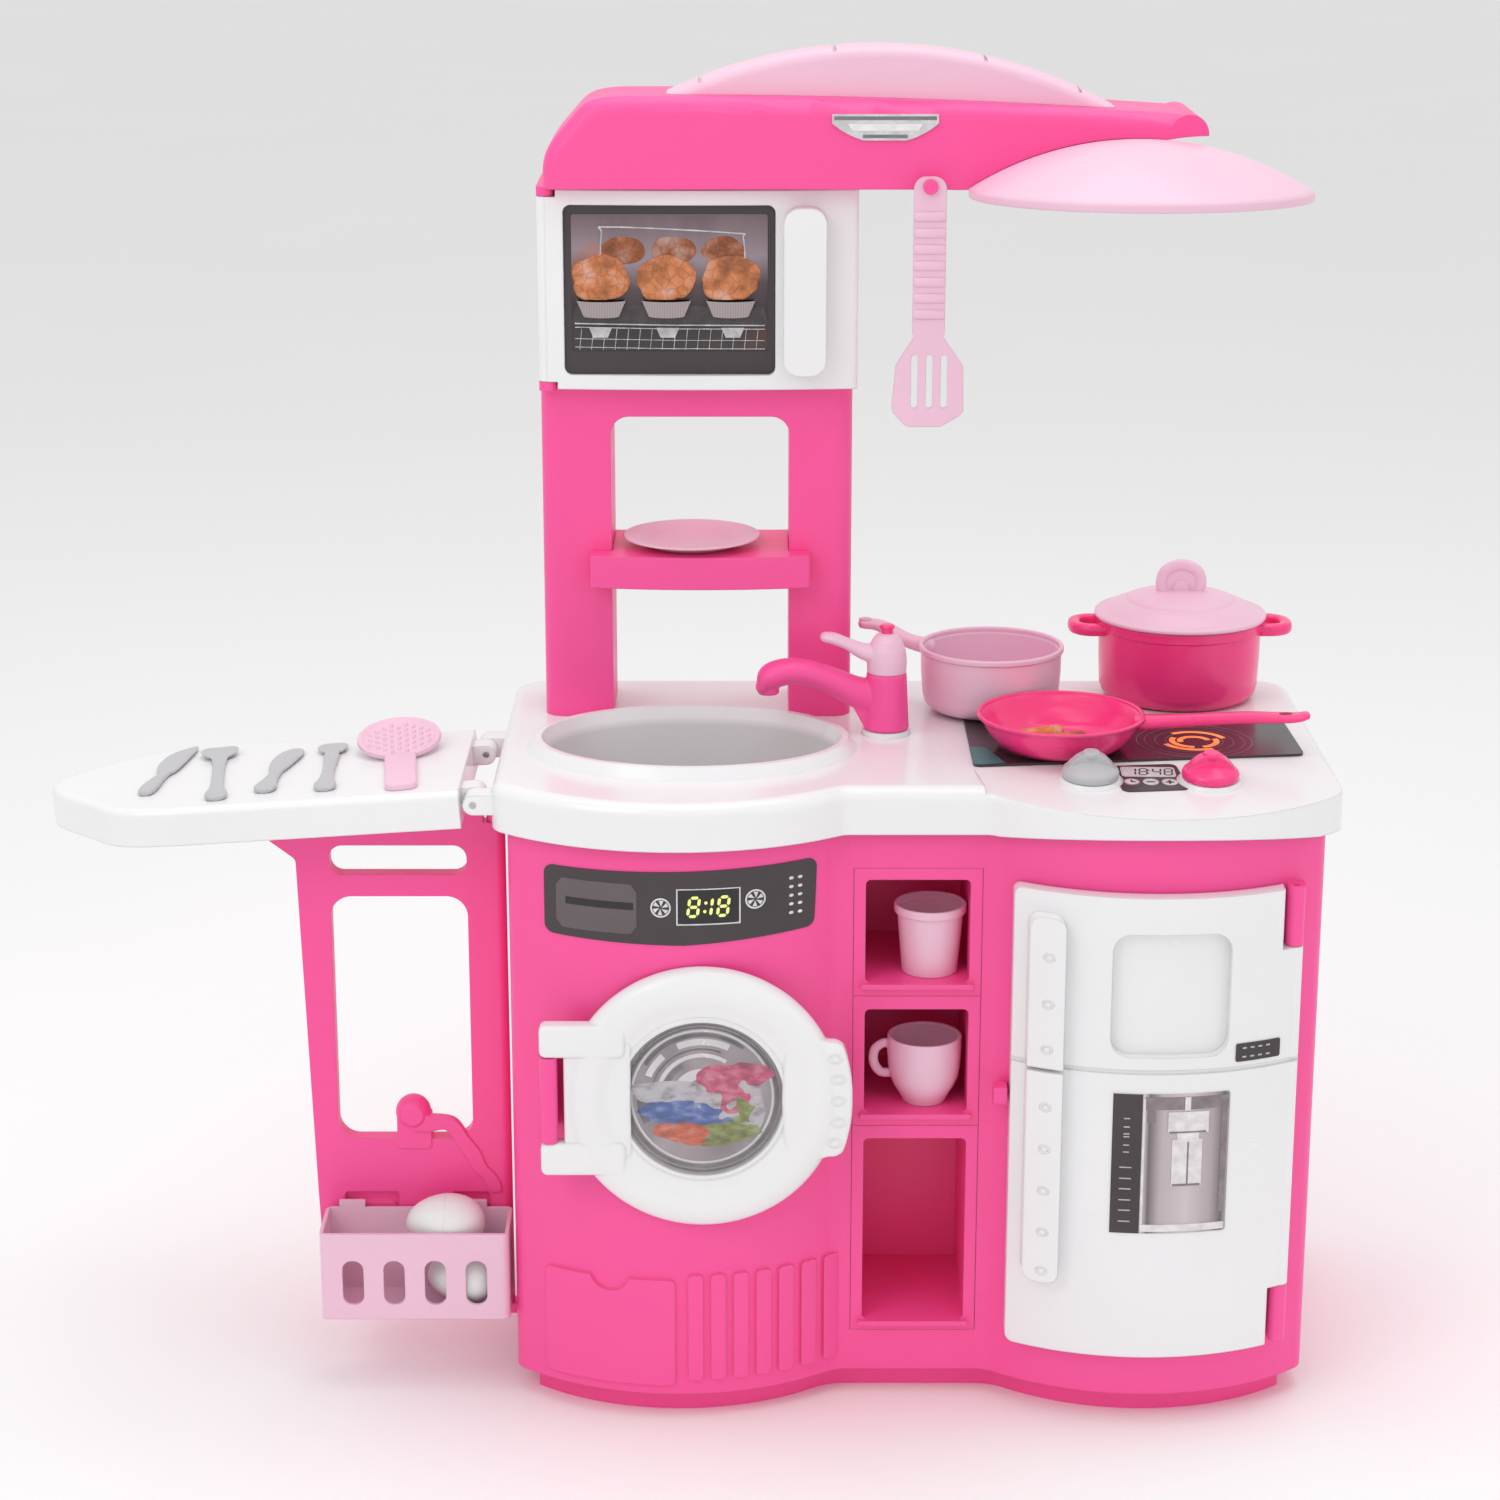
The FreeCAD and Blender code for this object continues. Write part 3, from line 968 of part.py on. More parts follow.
def egg(x, z):
    """A lying egg: blunter at one end, built as a solid of revolution about X."""
    curve = Part.BSplineCurve()
    length = EGG_HALF_LENGTH
    width = EGG_HALF_WIDTH
    curve.interpolate([V(-length, 0, 0), V(-0.72 * length, 0, 0.74 * width), V(0.06 * length, 0, width),
                       V(0.78 * length, 0, 0.58 * width), V(length, 0, 0)],
                      InitialTangent=V(0, 0, 1), FinalTangent=V(0, 0, -1))
    axis = Part.LineSegment(V(length, 0, 0), V(-length, 0, 0))
    face = Part.Face(Part.Wire([curve.toShape(), axis.toShape()]))
    body = face.revolve(V(0, 0, 0), X_AXIS, 360.0)
    body.translate(V(x, EGG_Y, z))
    return body


EGG_GIRTH_RADIUS = egg(0, 0).BoundBox.ZLength / 2
EGG_2_Z = BASKET_BOTTOM + BASKET_WALL + FACE_GAP + EGG_GIRTH_RADIUS
EGG_1_Z = EGG_2_Z + 2 * EGG_GIRTH_RADIUS + FACE_GAP

# ---- tap --------------------------------------------------------------------------------------

TAP_BODY_BOTTOM = WORKTOP_TOP + TAP_FOOT_HEIGHT + FACE_GAP
TAP_BODY_TOP = 535.0
TAP_LEVER_BOTTOM = TAP_BODY_TOP + FACE_GAP
TAP_BUTTON_RADIUS = 4.5


def tap_body():
    barrel = Part.makeCone(TAP_RADIUS + 2, TAP_RADIUS - 1, TAP_BODY_TOP - TAP_BODY_BOTTOM, V(TAP_X, TAP_Y, TAP_BODY_BOTTOM))
    stations = [(TAP_X - 2, 518, 12), (TAP_X - 40, 527, 11), (TAP_X - 72, 534, 11), (TAP_X - 90, 532, 12),
                (TAP_X - 102, 526, 10)]
    spout = Part.makeLoft([circle_wire((x, TAP_Y, z), (-1, 0, 0), r) for x, z, r in stations], True)
    neck = rod(6, (TAP_X, TAP_Y, TAP_BODY_TOP - 1), (TAP_X, TAP_Y, TAP_BODY_TOP + 10))
    bore = rod(TAP_SPIGOT_RADIUS + RUNNING_FIT, (TAP_X, TAP_Y, TAP_BODY_BOTTOM - 1),
               (TAP_X, TAP_Y, WORKTOP_TOP + 22 + FACE_GAP))
    return fused(barrel, spout, neck).cut(bore)


TAP_DOME_TOP = 566.0


def tap_lever():
    dome = turned([(0, TAP_LEVER_BOTTOM), (14, TAP_LEVER_BOTTOM), (14.5, 546), (12, 556), (8, 563), (6.5, TAP_DOME_TOP),
                   (0, TAP_DOME_TOP)], TAP_X, TAP_Y)
    handle = Part.makeLoft([circle_wire((TAP_X - 4, TAP_Y, 549), (-1, 0, 0.25), 6),
                            circle_wire((TAP_X - 25, TAP_Y, 556), (-1, 0, 0.25), 4.2),
                            circle_wire((TAP_X - 42, TAP_Y, 561), (-1, 0, 0.25), 5.2),
                            circle_wire((TAP_X - 48, TAP_Y, 562.5), (-1, 0, 0.25), 4)], True)
    bore = rod(6 + RUNNING_FIT, (TAP_X, TAP_Y, TAP_LEVER_BOTTOM - 1), (TAP_X, TAP_Y, TAP_BODY_TOP + 10 + FACE_GAP))
    well = rod(TAP_BUTTON_RADIUS + RUNNING_FIT, (TAP_X, TAP_Y, 552), (TAP_X, TAP_Y, TAP_DOME_TOP + 1))
    return cut(fused(dome, handle), bore, well)


def tap_button():
    return turned([(0, 556), (TAP_BUTTON_RADIUS, 556), (TAP_BUTTON_RADIUS, 570), (3.4, 572), (0, 573)], TAP_X, TAP_Y)


# ---- knobs ------------------------------------------------------------------------------------


def knob(x):
    base = turned([(0, 0), (KNOB_RADIUS, 0), (KNOB_RADIUS, 4), (KNOB_RADIUS - 4, 9), (10, 14), (0, 15)], 0, 0)
    paddle = slab(-6, 6, -13, 13, 2, KNOB_HEIGHT, 5.5, Z_AXIS)
    crest = rod(16, (-20, 0, KNOB_HEIGHT - 15.5), (20, 0, KNOB_HEIGHT - 15.5))
    shape = fused(base, paddle.common(crest))
    bore = Part.makeCylinder(SPINDLE_RADIUS + RUNNING_FIT, SPINDLE_LENGTH + FACE_GAP + 1, V(0, 0, -1))
    shape = shape.cut(bore)
    shape.translate(V(0, 0, KNOB_BOSS_HEIGHT + FACE_GAP))
    return on_slope(shape, x, KNOB_Y)


# ---- cookware and tableware ---------------------------------------------------------------------

POT_X = 218.0
POT_Y = 126.0
POT_BASE_RADIUS = 51.0
POT_RIM_RADIUS = 65.0
POT_HEIGHT = 65.0
VESSEL_WALL = 2.5
REST_GAP = 0.2
POT_BOTTOM = WORKTOP_TOP + REST_GAP
POT_TOP = POT_BOTTOM + POT_HEIGHT


def vessel(x, y, bottom, height, base, rim, wall):
    """An open round vessel with a rounded foot and a slight flare."""
    outer = [(0, bottom), (base - 4, bottom), (base, bottom + 3), (rim, bottom + height)]
    inner = [(rim - wall, bottom + height), (base - wall, bottom + 4), (base - wall - 3, bottom + wall),
             (0, bottom + wall)]
    return turned(outer + inner, x, y)


def pot():
    body = vessel(POT_X, POT_Y, POT_BOTTOM, POT_HEIGHT, POT_BASE_RADIUS, POT_RIM_RADIUS, VESSEL_WALL)
    ears = []
    for side in (-1, 1):
        reach = side * (POT_RIM_RADIUS + 23)
        near = side * (POT_RIM_RADIUS - VESSEL_WALL / 2)
        x0, x1 = sorted((POT_X + near - side * 0.5, POT_X + reach))
        ear = slab(x0, x1, POT_Y - 21, POT_Y + 21, POT_TOP - 13, POT_TOP - 3, 9, Z_AXIS)
        h0, h1 = sorted((POT_X + side * (POT_RIM_RADIUS + 2), POT_X + reach - side * 9))
        ears.append(ear.cut(slab(h0, h1, POT_Y - 11, POT_Y + 11, POT_TOP - 14, POT_TOP - 2, 4, Z_AXIS)))
    inside = turned([(0, POT_BOTTOM + VESSEL_WALL), (POT_BASE_RADIUS - VESSEL_WALL, POT_BOTTOM + 4),
                     (POT_RIM_RADIUS - VESSEL_WALL, POT_TOP), (POT_RIM_RADIUS - VESSEL_WALL, POT_TOP + 5),
                     (0, POT_TOP + 5)], POT_X, POT_Y)
    return fused(body, *ears).cut(inside)


def pot_lid():
    z = POT_TOP + REST_GAP
    rim = POT_RIM_RADIUS + 2.5
    cover = turned([(0, z + 16.5), (28, z + 14.5), (49, z + 8), (58, z + 3), (58, z), (rim, z), (rim, z + 3.5),
                    (59, z + 6), (50, z + 11.5), (30, z + 18.5), (0, z + 21)], POT_X, POT_Y)
    plug = rod(POT_RIM_RADIUS - VESSEL_WALL - 1.2, (POT_X, POT_Y, z - 5), (POT_X, POT_Y, z + 1))
    plug = plug.cut(rod(POT_RIM_RADIUS - VESSEL_WALL - 3.5, (POT_X, POT_Y, z - 6), (POT_X, POT_Y, z + 2)))
    loop = rod(18, (POT_X, POT_Y - 5, z + 24), (POT_X, POT_Y + 5, z + 24))
    loop = loop.cut(rod(10, (POT_X, POT_Y - 6, z + 25), (POT_X, POT_Y + 6, z + 25)))
    loop = loop.common(block(POT_X - 30, POT_X + 30, POT_Y - 10, POT_Y + 10, z + 17, z + 60))
    return fused(cover, plug, loop)


def bar(start, end, width, thickness, radius):
    """A flat bar with rounded ends between two points of the plan, given as (x, y, middle z)."""
    start, end = V(*start), V(*end)
    run = end - start
    length = V(run.x, run.y, 0).Length
    rise = end.z - start.z
    shape = slab(0, math.hypot(length, rise), -width / 2, width / 2, -thickness / 2, thickness / 2, radius, Z_AXIS)
    shape.rotate(V(0, 0, 0), Y_AXIS, -math.degrees(math.atan2(rise, length)))
    shape.rotate(V(0, 0, 0), Z_AXIS, math.degrees(math.atan2(run.y, run.x)))
    shape.translate(start)
    return shape


SAUCEPAN_X = 66.0
SAUCEPAN_Y = 82.0
SAUCEPAN_BASE_RADIUS = 46.0
SAUCEPAN_RIM_RADIUS = 56.5
SAUCEPAN_HEIGHT = 51.0
SAUCEPAN_BOTTOM = WORKTOP_TOP + HOB_THICKNESS + REST_GAP


def saucepan():
    top = SAUCEPAN_BOTTOM + SAUCEPAN_HEIGHT
    body = vessel(SAUCEPAN_X, SAUCEPAN_Y, SAUCEPAN_BOTTOM, SAUCEPAN_HEIGHT, SAUCEPAN_BASE_RADIUS,
                  SAUCEPAN_RIM_RADIUS, VESSEL_WALL)
    handle = bar((SAUCEPAN_X - 36, SAUCEPAN_Y + 22, top - 9), (-38, 132, top + 5), 18, 8, 7)
    inside = turned([(0, SAUCEPAN_BOTTOM + VESSEL_WALL), (SAUCEPAN_BASE_RADIUS - VESSEL_WALL, SAUCEPAN_BOTTOM + 4),
                     (SAUCEPAN_RIM_RADIUS - VESSEL_WALL, top), (SAUCEPAN_RIM_RADIUS - VESSEL_WALL, top + 12),
                     (0, top + 12)], SAUCEPAN_X, SAUCEPAN_Y)
    return fused(body, handle).cut(inside)


PAN_X = 111.0
PAN_Y = -30.0
PAN_RIM_RADIUS = 63.0
PAN_BASE_RADIUS = 38.0
PAN_HEIGHT = 27.0
PAN_BOTTOM = WORKTOP_TOP + HOB_THICKNESS + REST_GAP


def frying_pan():
    top = PAN_BOTTOM + PAN_HEIGHT
    z = PAN_BOTTOM
    body = turned([(0, z), (PAN_BASE_RADIUS, z), (50, z + 9), (58, z + 18), (PAN_RIM_RADIUS, top),
                   (PAN_RIM_RADIUS - 3, top), (55, z + 18.5), (47, z + 10.5), (PAN_BASE_RADIUS - 2, z + 3), (0, z + 3)],
                  PAN_X, PAN_Y)
    handle = bar((PAN_X + 57, PAN_Y - 4, top - 6), (295, PAN_Y - 20, top + 3), 20, 6, 9)
    eye = rod(4, (286, PAN_Y - 19, top - 20), (286, PAN_Y - 19, top + 20))
    inside = turned([(0, z + 3), (PAN_BASE_RADIUS - 2, z + 3), (47, z + 10.5), (55, z + 18.5),
                     (PAN_RIM_RADIUS - 3, top), (PAN_RIM_RADIUS - 3, top + 5), (0, top + 5)], PAN_X, PAN_Y)
    return fused(body, handle).cut(inside).cut(eye)


def capsule(start, end, radius):
    return fused(rod(radius, start, end), ball(radius, start), ball(radius, end))


def sausages():
    z = PAN_BOTTOM + 3 + 6 + REST_GAP
    return [capsule((PAN_X - 28, PAN_Y - 4, z), (PAN_X - 2, PAN_Y + 8, z), 6),
            capsule((PAN_X - 18, PAN_Y - 18, z), (PAN_X + 14, PAN_Y - 9, z), 6)]


TUMBLER_X, TUMBLER_Y = 12.0, -92.0
MUG_X, MUG_Y = 9.0, -94.0


def tumbler():
    return vessel(TUMBLER_X, TUMBLER_Y, NICHES[2][0] + REST_GAP, 53, 20.5, 27, 1.8)


def mug():
    z = NICHES[1][0] + REST_GAP
    body = turned([(0, z), (15, z), (19, z + 6), (25, z + 18), (28, z + 36), (28, z + 52),
                   (26.2, z + 52), (26.2, z + 36), (23, z + 19), (17, z + 7.5), (14, z + 1.8), (0, z + 1.8)], MUG_X, MUG_Y)
    outer = rod(13, (MUG_X - 27, MUG_Y - 4, z + 34), (MUG_X - 27, MUG_Y + 4, z + 34))
    inner = rod(9, (MUG_X - 27, MUG_Y - 5, z + 34), (MUG_X - 27, MUG_Y + 5, z + 34))
    bowl = turned([(0, z), (15, z), (19, z + 6), (25, z + 18), (27, z + 36), (27, z + 60), (0, z + 60)], MUG_X, MUG_Y)
    return fused(body, outer.cut(inner).cut(bowl))


PLATE_X, PLATE_Y, PLATE_RADIUS = -167.0, 84.0, 53.0


def plate():
    z = SHELF_TOP + REST_GAP
    return turned([(0, z), (34, z), (38, z + 3), (PLATE_RADIUS, z + 7), (PLATE_RADIUS, z + 8.5), (37, z + 5),
                   (33, z + 2.5), (0, z + 2.5)], PLATE_X, PLATE_Y)


CUTLERY_Z = BOARD_TOP + REST_GAP
CUTLERY_THICKNESS = 4.0
SKIMMER_LIFT = 12.0


def cutlery(outline, radius):
    """A flat utensil lying on the board from its plan outline."""
    return rounded(prism_xy(outline, CUTLERY_Z, CUTLERY_Z + CUTLERY_THICKNESS), radius, Z_AXIS)


def laid(shape, x, y, angle):
    """Turn a utensil drawn along +Y from the origin and put it at its place on the board."""
    shape.rotate(V(0, 0, 0), Z_AXIS, angle)
    shape.translate(V(x, y, 0))
    return drooped(shape)


def knife():
    handle = cutlery([(-6, 0), (6, 0), (5, 55), (-5, 55)], 4)
    blade = cutlery([(-5, 50), (7, 50), (8, 110), (2, 122), (-4, 100)], 3)
    return laid(fused(handle, blade), -570, -80, -6.5)


def spoon(x, y, angle, length, bowl_radius):
    handle = cutlery([(-6, 0), (6, 0), (3.5, length - bowl_radius), (-3.5, length - bowl_radius)], 3)
    centre = (0, length - bowl_radius)
    head = ellipse_wire(0, 0, 0, bowl_radius * 1.25, bowl_radius)
    head = Part.Face(head).extrude(V(0, 0, CUTLERY_THICKNESS + 2))
    head.rotate(V(0, 0, 0), Z_AXIS, 90)
    head.translate(V(centre[0], centre[1], CUTLERY_Z))
    hollow = ball(bowl_radius * 1.6, (centre[0], centre[1], CUTLERY_Z + 1.8 + bowl_radius * 1.6))
    return laid(fused(handle, head).cut(hollow), x, y, angle)


def spreader():
    handle = cutlery([(-6, 0), (6, 0), (4, 60), (-4, 60)], 4)
    blade = cutlery([(-4, 52), (6, 52), (9, 86), (6, 106), (-3, 111), (-5, 78)], 3.5)
    return laid(fused(handle, blade), -480, -92, -4)


def skimmer():
    disc = rod(32, (0, 0, CUTLERY_Z), (0, 0, CUTLERY_Z + 5))
    dish = turned([(0, CUTLERY_Z + 2), (25, CUTLERY_Z + 3), (28, CUTLERY_Z + 6), (0, CUTLERY_Z + 6)], 0, 0)
    head = disc.cut(dish)
    head.rotate(V(0, -32, CUTLERY_Z), X_AXIS, SKIMMER_LIFT)
    handle = slab(-12, 12, -110, -28, CUTLERY_Z, CUTLERY_Z + 5, 8, Z_AXIS)
    return laid(fused(head, handle), -388, 4, 6)


# ---- pins and screws --------------------------------------------------------------------------


def hinge_pins():
    """Steel pins pressed in the fixed knuckles of the doors, the gate and the board."""
    inset = 14.0
    z0, z1 = FRIDGE_BOTTOM, FRIDGE_TOP
    lug = FRIDGE_LUG_HEIGHT
    pins = [rod(PIN_RADIUS, (FRIDGE_HINGE_X, FRIDGE_HINGE_Y, z0 + lug - inset),
                (FRIDGE_HINGE_X, FRIDGE_HINGE_Y, z0 + lug + inset)),
            rod(PIN_RADIUS, (FRIDGE_HINGE_X, FRIDGE_HINGE_Y, z1 - lug - inset),
                (FRIDGE_HINGE_X, FRIDGE_HINGE_Y, z1 - lug + inset)),
            rod(PIN_RADIUS, (WASHER_HINGE_X, WASHER_HINGE_Y, WASHER_Z - WASHER_BARREL_HALF - inset),
                (WASHER_HINGE_X, WASHER_HINGE_Y, WASHER_Z + WASHER_BARREL_HALF + inset)),
            rod(PIN_RADIUS, (OVEN_HINGE_X, OVEN_HINGE_Y, TOWER_TOP), (OVEN_HINGE_X, OVEN_HINGE_Y, OVEN_TOP)),
            rod(PIN_RADIUS, (GATE_HINGE_X, GATE_Y, GATE_BOTTOM - GATE_LUG_HEIGHT - FACE_GAP),
                (GATE_HINGE_X, GATE_Y, GATE_TOP))]
    near, far = BOARD_LUG_YS
    for y0, y1 in ((near, board_knuckle_ys()[0] + inset), (board_knuckle_ys()[1] + BOARD_LUG_WIDTH - inset,
                                                         far + BOARD_LUG_WIDTH)):
        pins.append(rod(PIN_RADIUS, (BOARD_HINGE_X, y0, BOARD_HINGE_Z), (BOARD_HINGE_X, y1, BOARD_HINGE_Z)))
    return pins


def screws():
    """Pan-head screws: the tower's feet, the back of the oven and the rear shell to the plinth."""
    pieces = []

    def screw(x, y, z, direction):
        axis = V(*direction)
        at = V(x, y, z)
        head = Part.makeCylinder(4.0, 2.0, at, axis)
        shank = Part.makeCylinder(1.75, 12.0, at, axis * -1)
        return fused(head, shank)

    for x in (-270, -58):
        pieces.append(screw(x, TOWER_BACK_Y, 700, (0, 1, 0)))
    for x in (-250, -80):
        pieces.append(screw(x, OVEN_BACK_Y, OVEN_TOP - 6, (0, 1, 0)))
    for x in (-240, 0, 240):
        pieces.append(screw(x, CABINET_BACK_Y, 60, (0, 1, 0)))
    return pieces


# ---- build ------------------------------------------------------------------------------------


def main():
    os.makedirs("parts", exist_ok=True)
    pins = hinge_pins()
    fasteners = screws()
    save("plinth", plinth())
    save("cabinet_front", cabinet_front())
    save("cabinet_rear", cabinet_rear().cut(fasteners))
    for index, name in enumerate(("niche_bottom", "niche_middle", "niche_top")):
        save(name, niche_moulding(index))
    save("gate_brackets", *gate_brackets())
    save("washer_tub", washer_tub())
    save("fridge_liner", fridge_liner())
    save("fridge_shelf", fridge_shelf())
    save("worktop", worktop())
    save("hob_panel", hob_panel())
    save("timer_label", timer_label())
    save("control_label", control_label())
    save("tower_frame", tower_frame().cut(fasteners))
    save("tower_shelf", tower_shelf())
    save("oven_housing", oven_housing().cut(fasteners))
    save("hood", hood())
    save("hood_crown", hood_crown())
    save("hood_badge", hood_badge())
    save("lamp_shade", lamp_shade())
    save("hood_hook", hood_hook())
    save("door_latch", door_latch())
    save("hinge_pins", *pins)
    save("screws", *fasteners)
    save("washer_door", washer_door())
    save("washer_window", washer_window())
    save("washer_picture", washer_picture())
    save("fridge_door", fridge_door())
    save("dispenser_label", dispenser_label())
    save("fridge_badge", fridge_badge())
    save("oven_door", oven_door())
    save("oven_picture", oven_picture())
    save("ironing_board", ironing_board())
    save("gate_frame", gate_frame())
    save("laundry_basket", laundry_basket())
    save("egg_1", egg(-354, EGG_1_Z))
    save("egg_2", egg(-339, EGG_2_Z))
    save("spatula", spatula())
    save("tap_body", tap_body())
    save("tap_lever", tap_lever())
    save("tap_button", tap_button())
    save("knob_left", knob(KNOB_XS[0]))
    save("knob_right", knob(KNOB_XS[1]))
    save("pot", pot())
    save("pot_lid", pot_lid())
    save("saucepan", saucepan())
    save("frying_pan", frying_pan())
    save("sausages", *sausages())
    save("tumbler", tumbler())
    save("mug", mug())
    save("plate", plate())
    save("knife", knife())
    save("spoon", spoon(-513, -104, 7, 138, 15))
    save("spreader", spreader())
    save("teaspoon", spoon(-434, -97, 3.2, 122, 12))
    save("skimmer", skimmer())


main()
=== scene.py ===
import functools
import json
import math

import bmesh
import bpy
from mathutils import Matrix, Vector, noise


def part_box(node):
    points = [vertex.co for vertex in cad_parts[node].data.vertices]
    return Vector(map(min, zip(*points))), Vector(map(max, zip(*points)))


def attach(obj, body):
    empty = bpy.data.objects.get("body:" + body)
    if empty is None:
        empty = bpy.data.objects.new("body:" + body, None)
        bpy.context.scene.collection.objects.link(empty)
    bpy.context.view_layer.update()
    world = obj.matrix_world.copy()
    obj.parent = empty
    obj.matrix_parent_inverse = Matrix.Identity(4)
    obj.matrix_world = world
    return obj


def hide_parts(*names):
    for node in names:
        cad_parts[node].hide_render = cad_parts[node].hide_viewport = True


bl_info = {
    "name": "Toy kitchen finish",
    "version": (1, 0, 0),
    "blender": (4, 5, 0),
    "location": "3D View > Sidebar > Toy kitchen",
    "description": "Builds the moulded pieces, prints and finishes of a toy kitchen round its CAD frame",
    "category": "Object",
}

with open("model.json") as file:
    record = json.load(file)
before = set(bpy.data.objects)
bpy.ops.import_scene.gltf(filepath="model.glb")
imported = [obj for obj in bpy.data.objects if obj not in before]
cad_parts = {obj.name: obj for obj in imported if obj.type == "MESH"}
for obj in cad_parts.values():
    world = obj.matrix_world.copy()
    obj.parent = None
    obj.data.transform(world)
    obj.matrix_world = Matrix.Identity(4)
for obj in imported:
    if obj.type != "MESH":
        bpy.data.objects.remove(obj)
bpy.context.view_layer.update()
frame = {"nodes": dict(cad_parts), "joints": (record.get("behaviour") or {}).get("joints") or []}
JOINTS = {joint["name"]: joint for joint in frame["joints"]}

MM = 0.001
TURN = 2 * math.pi


# ---- shader values and finishes ---------------------------------------------------------------


class Val:
    """A number in a shader. Arithmetic on it adds Math nodes to its tree."""

    def __init__(self, tree, socket):
        self.tree = tree
        self.socket = socket

    def math(self, operation, *values):
        node = self.tree.nodes.new("ShaderNodeMath")
        node.operation = operation
        for socket, value in zip(node.inputs, values):
            if isinstance(value, Val):
                self.tree.links.new(value.socket, socket)
            else:
                socket.default_value = value
        return Val(self.tree, node.outputs[0])

    def __add__(self, other):
        return self.math("ADD", self, other)

    __radd__ = __add__

    def __sub__(self, other):
        return self.math("SUBTRACT", self, other)

    def __rsub__(self, other):
        return self.math("SUBTRACT", other, self)

    def __mul__(self, other):
        return self.math("MULTIPLY", self, other)

    __rmul__ = __mul__

    def __truediv__(self, other):
        return self.math("DIVIDE", self, other)

    def __pow__(self, other):
        return self.math("POWER", self, other)

    def __abs__(self):
        return self.math("ABSOLUTE", self)

    def least(self, other):
        return self.math("MINIMUM", self, other)

    def most(self, other):
        return self.math("MAXIMUM", self, other)

    def held(self):
        """Kept between 0 and 1."""
        return self.most(0.0).least(1.0)


class Finish:
    """A material being made. node() adds any node, and the rest are short forms of it."""

    def __init__(self, name):
        self.material = bpy.data.materials.new(name)
        self.material.use_nodes = True
        self.tree = self.material.node_tree
        self.tree.nodes.clear()

    def node(self, kind, settings=None, inputs=None, output=0):
        node = self.tree.nodes.new(kind)
        for key, value in (settings or {}).items():
            if key == "stops":
                self.set_stops(node.color_ramp, value)
            else:
                setattr(node, key, value)
        for key, value in (inputs or {}).items():
            socket = node.inputs[key]
            if isinstance(value, Val):
                self.tree.links.new(value.socket, socket)
            elif socket.type == "RGBA":
                socket.default_value = (*value[:3], 1.0)
            else:
                socket.default_value = value
        return Val(self.tree, node.outputs[output]) if node.outputs else None

    @staticmethod
    def set_stops(ramp, stops):
        while len(ramp.elements) > 1:
            ramp.elements.remove(ramp.elements[-1])
        for i, (place, colour) in enumerate(stops):
            element = ramp.elements[0] if i == 0 else ramp.elements.new(place)
            element.position = place
            element.color = (*colour[:3], 1.0)

    def place(self):
        return self.node("ShaderNodeTexCoord", output=3)

    def axes(self):
        """The three coordinates of the row frame in millimetres."""
        scaled = self.node("ShaderNodeVectorMath", {"operation": "SCALE"}, {0: self.place(), "Scale": 1 / MM})
        parts = self.tree.nodes.new("ShaderNodeSeparateXYZ")
        self.tree.links.new(scaled.socket, parts.inputs[0])
        return [Val(self.tree, socket) for socket in parts.outputs]

    def noise(self, scale, detail=2.0, stretch=(1, 1, 1)):
        at = self.node("ShaderNodeMapping", {}, {"Vector": self.place(), "Scale": stretch})
        return self.node("ShaderNodeTexNoise", {}, {"Vector": at, "Scale": scale, "Detail": detail})

    def mix(self, a, b, factor):
        return self.node("ShaderNodeMix", {"data_type": "RGBA"}, {0: factor, 6: a, 7: b}, output=2)

    def ramp(self, value, stops):
        return self.node("ShaderNodeValToRGB", {"stops": stops}, {0: value})

    def soft_edges(self, radius):
        """A normal that rounds sharp edges by radius, and how close a point is to an edge."""
        soft = self.node("ShaderNodeBevel", {"samples": 4}, {"Radius": radius * MM})
        flat = self.node("ShaderNodeNewGeometry", output=1)
        along = self.node("ShaderNodeVectorMath", {"operation": "DOT_PRODUCT"}, {0: soft, 1: flat}, output=1)
        return soft, (1 - along).held()

    def close(self, **sockets):
        """Adds the surface shader with these sockets and returns the material."""
        named = {key.replace("_", " "): value for key, value in sockets.items()}
        shader = self.node("ShaderNodeBsdfPrincipled", {}, named)
        self.node("ShaderNodeOutputMaterial", {}, {"Surface": shader})
        return self.material


def tinted(colour, by):
    return tuple(min(1.0, c * by) for c in colour)


def toward_white(colour, share):
    return tuple(c + (1 - c) * share for c in colour)


@functools.cache
def plastic(name, colour, rough=0.34, coat=0.0, edge=1.2, edge_highlight=0.22, grain=0.08):
    """Injection-moulded plastic: slow tone drift, fine grain, handling smears, and edges painted paler as a
    painted highlight.
    """
    f = Finish(name)
    drift = f.noise(5.0, 3.0)
    speck = f.noise(260.0, 2.0)
    smear = f.noise(22.0, 4.0, (1, 1, 2.2))
    pores = f.noise(1500.0, 1.0)
    soft, near_edge = f.soft_edges(edge)
    tone = f.mix(tinted(colour, 0.93), tinted(colour, 1.05), drift)
    tone = f.mix(tone, tinted(colour, 0.9), (speck - 0.62).held() * 0.6)
    # Painted highlight: the base colour is painted paler near edges.
    tone = f.mix(tone, toward_white(colour, 0.45), (near_edge * 4.0).held() * edge_highlight)
    normal = f.node("ShaderNodeBump", {}, {"Strength": grain, "Distance": 0.0004,
                                           "Height": pores + smear * 0.8, "Normal": soft})
    return f.close(Base_Color=tone, Roughness=(rough + (smear - 0.5) * 0.16).held(),
                   Normal=normal, Coat_Weight=coat, Coat_Roughness=0.12, IOR=1.47)


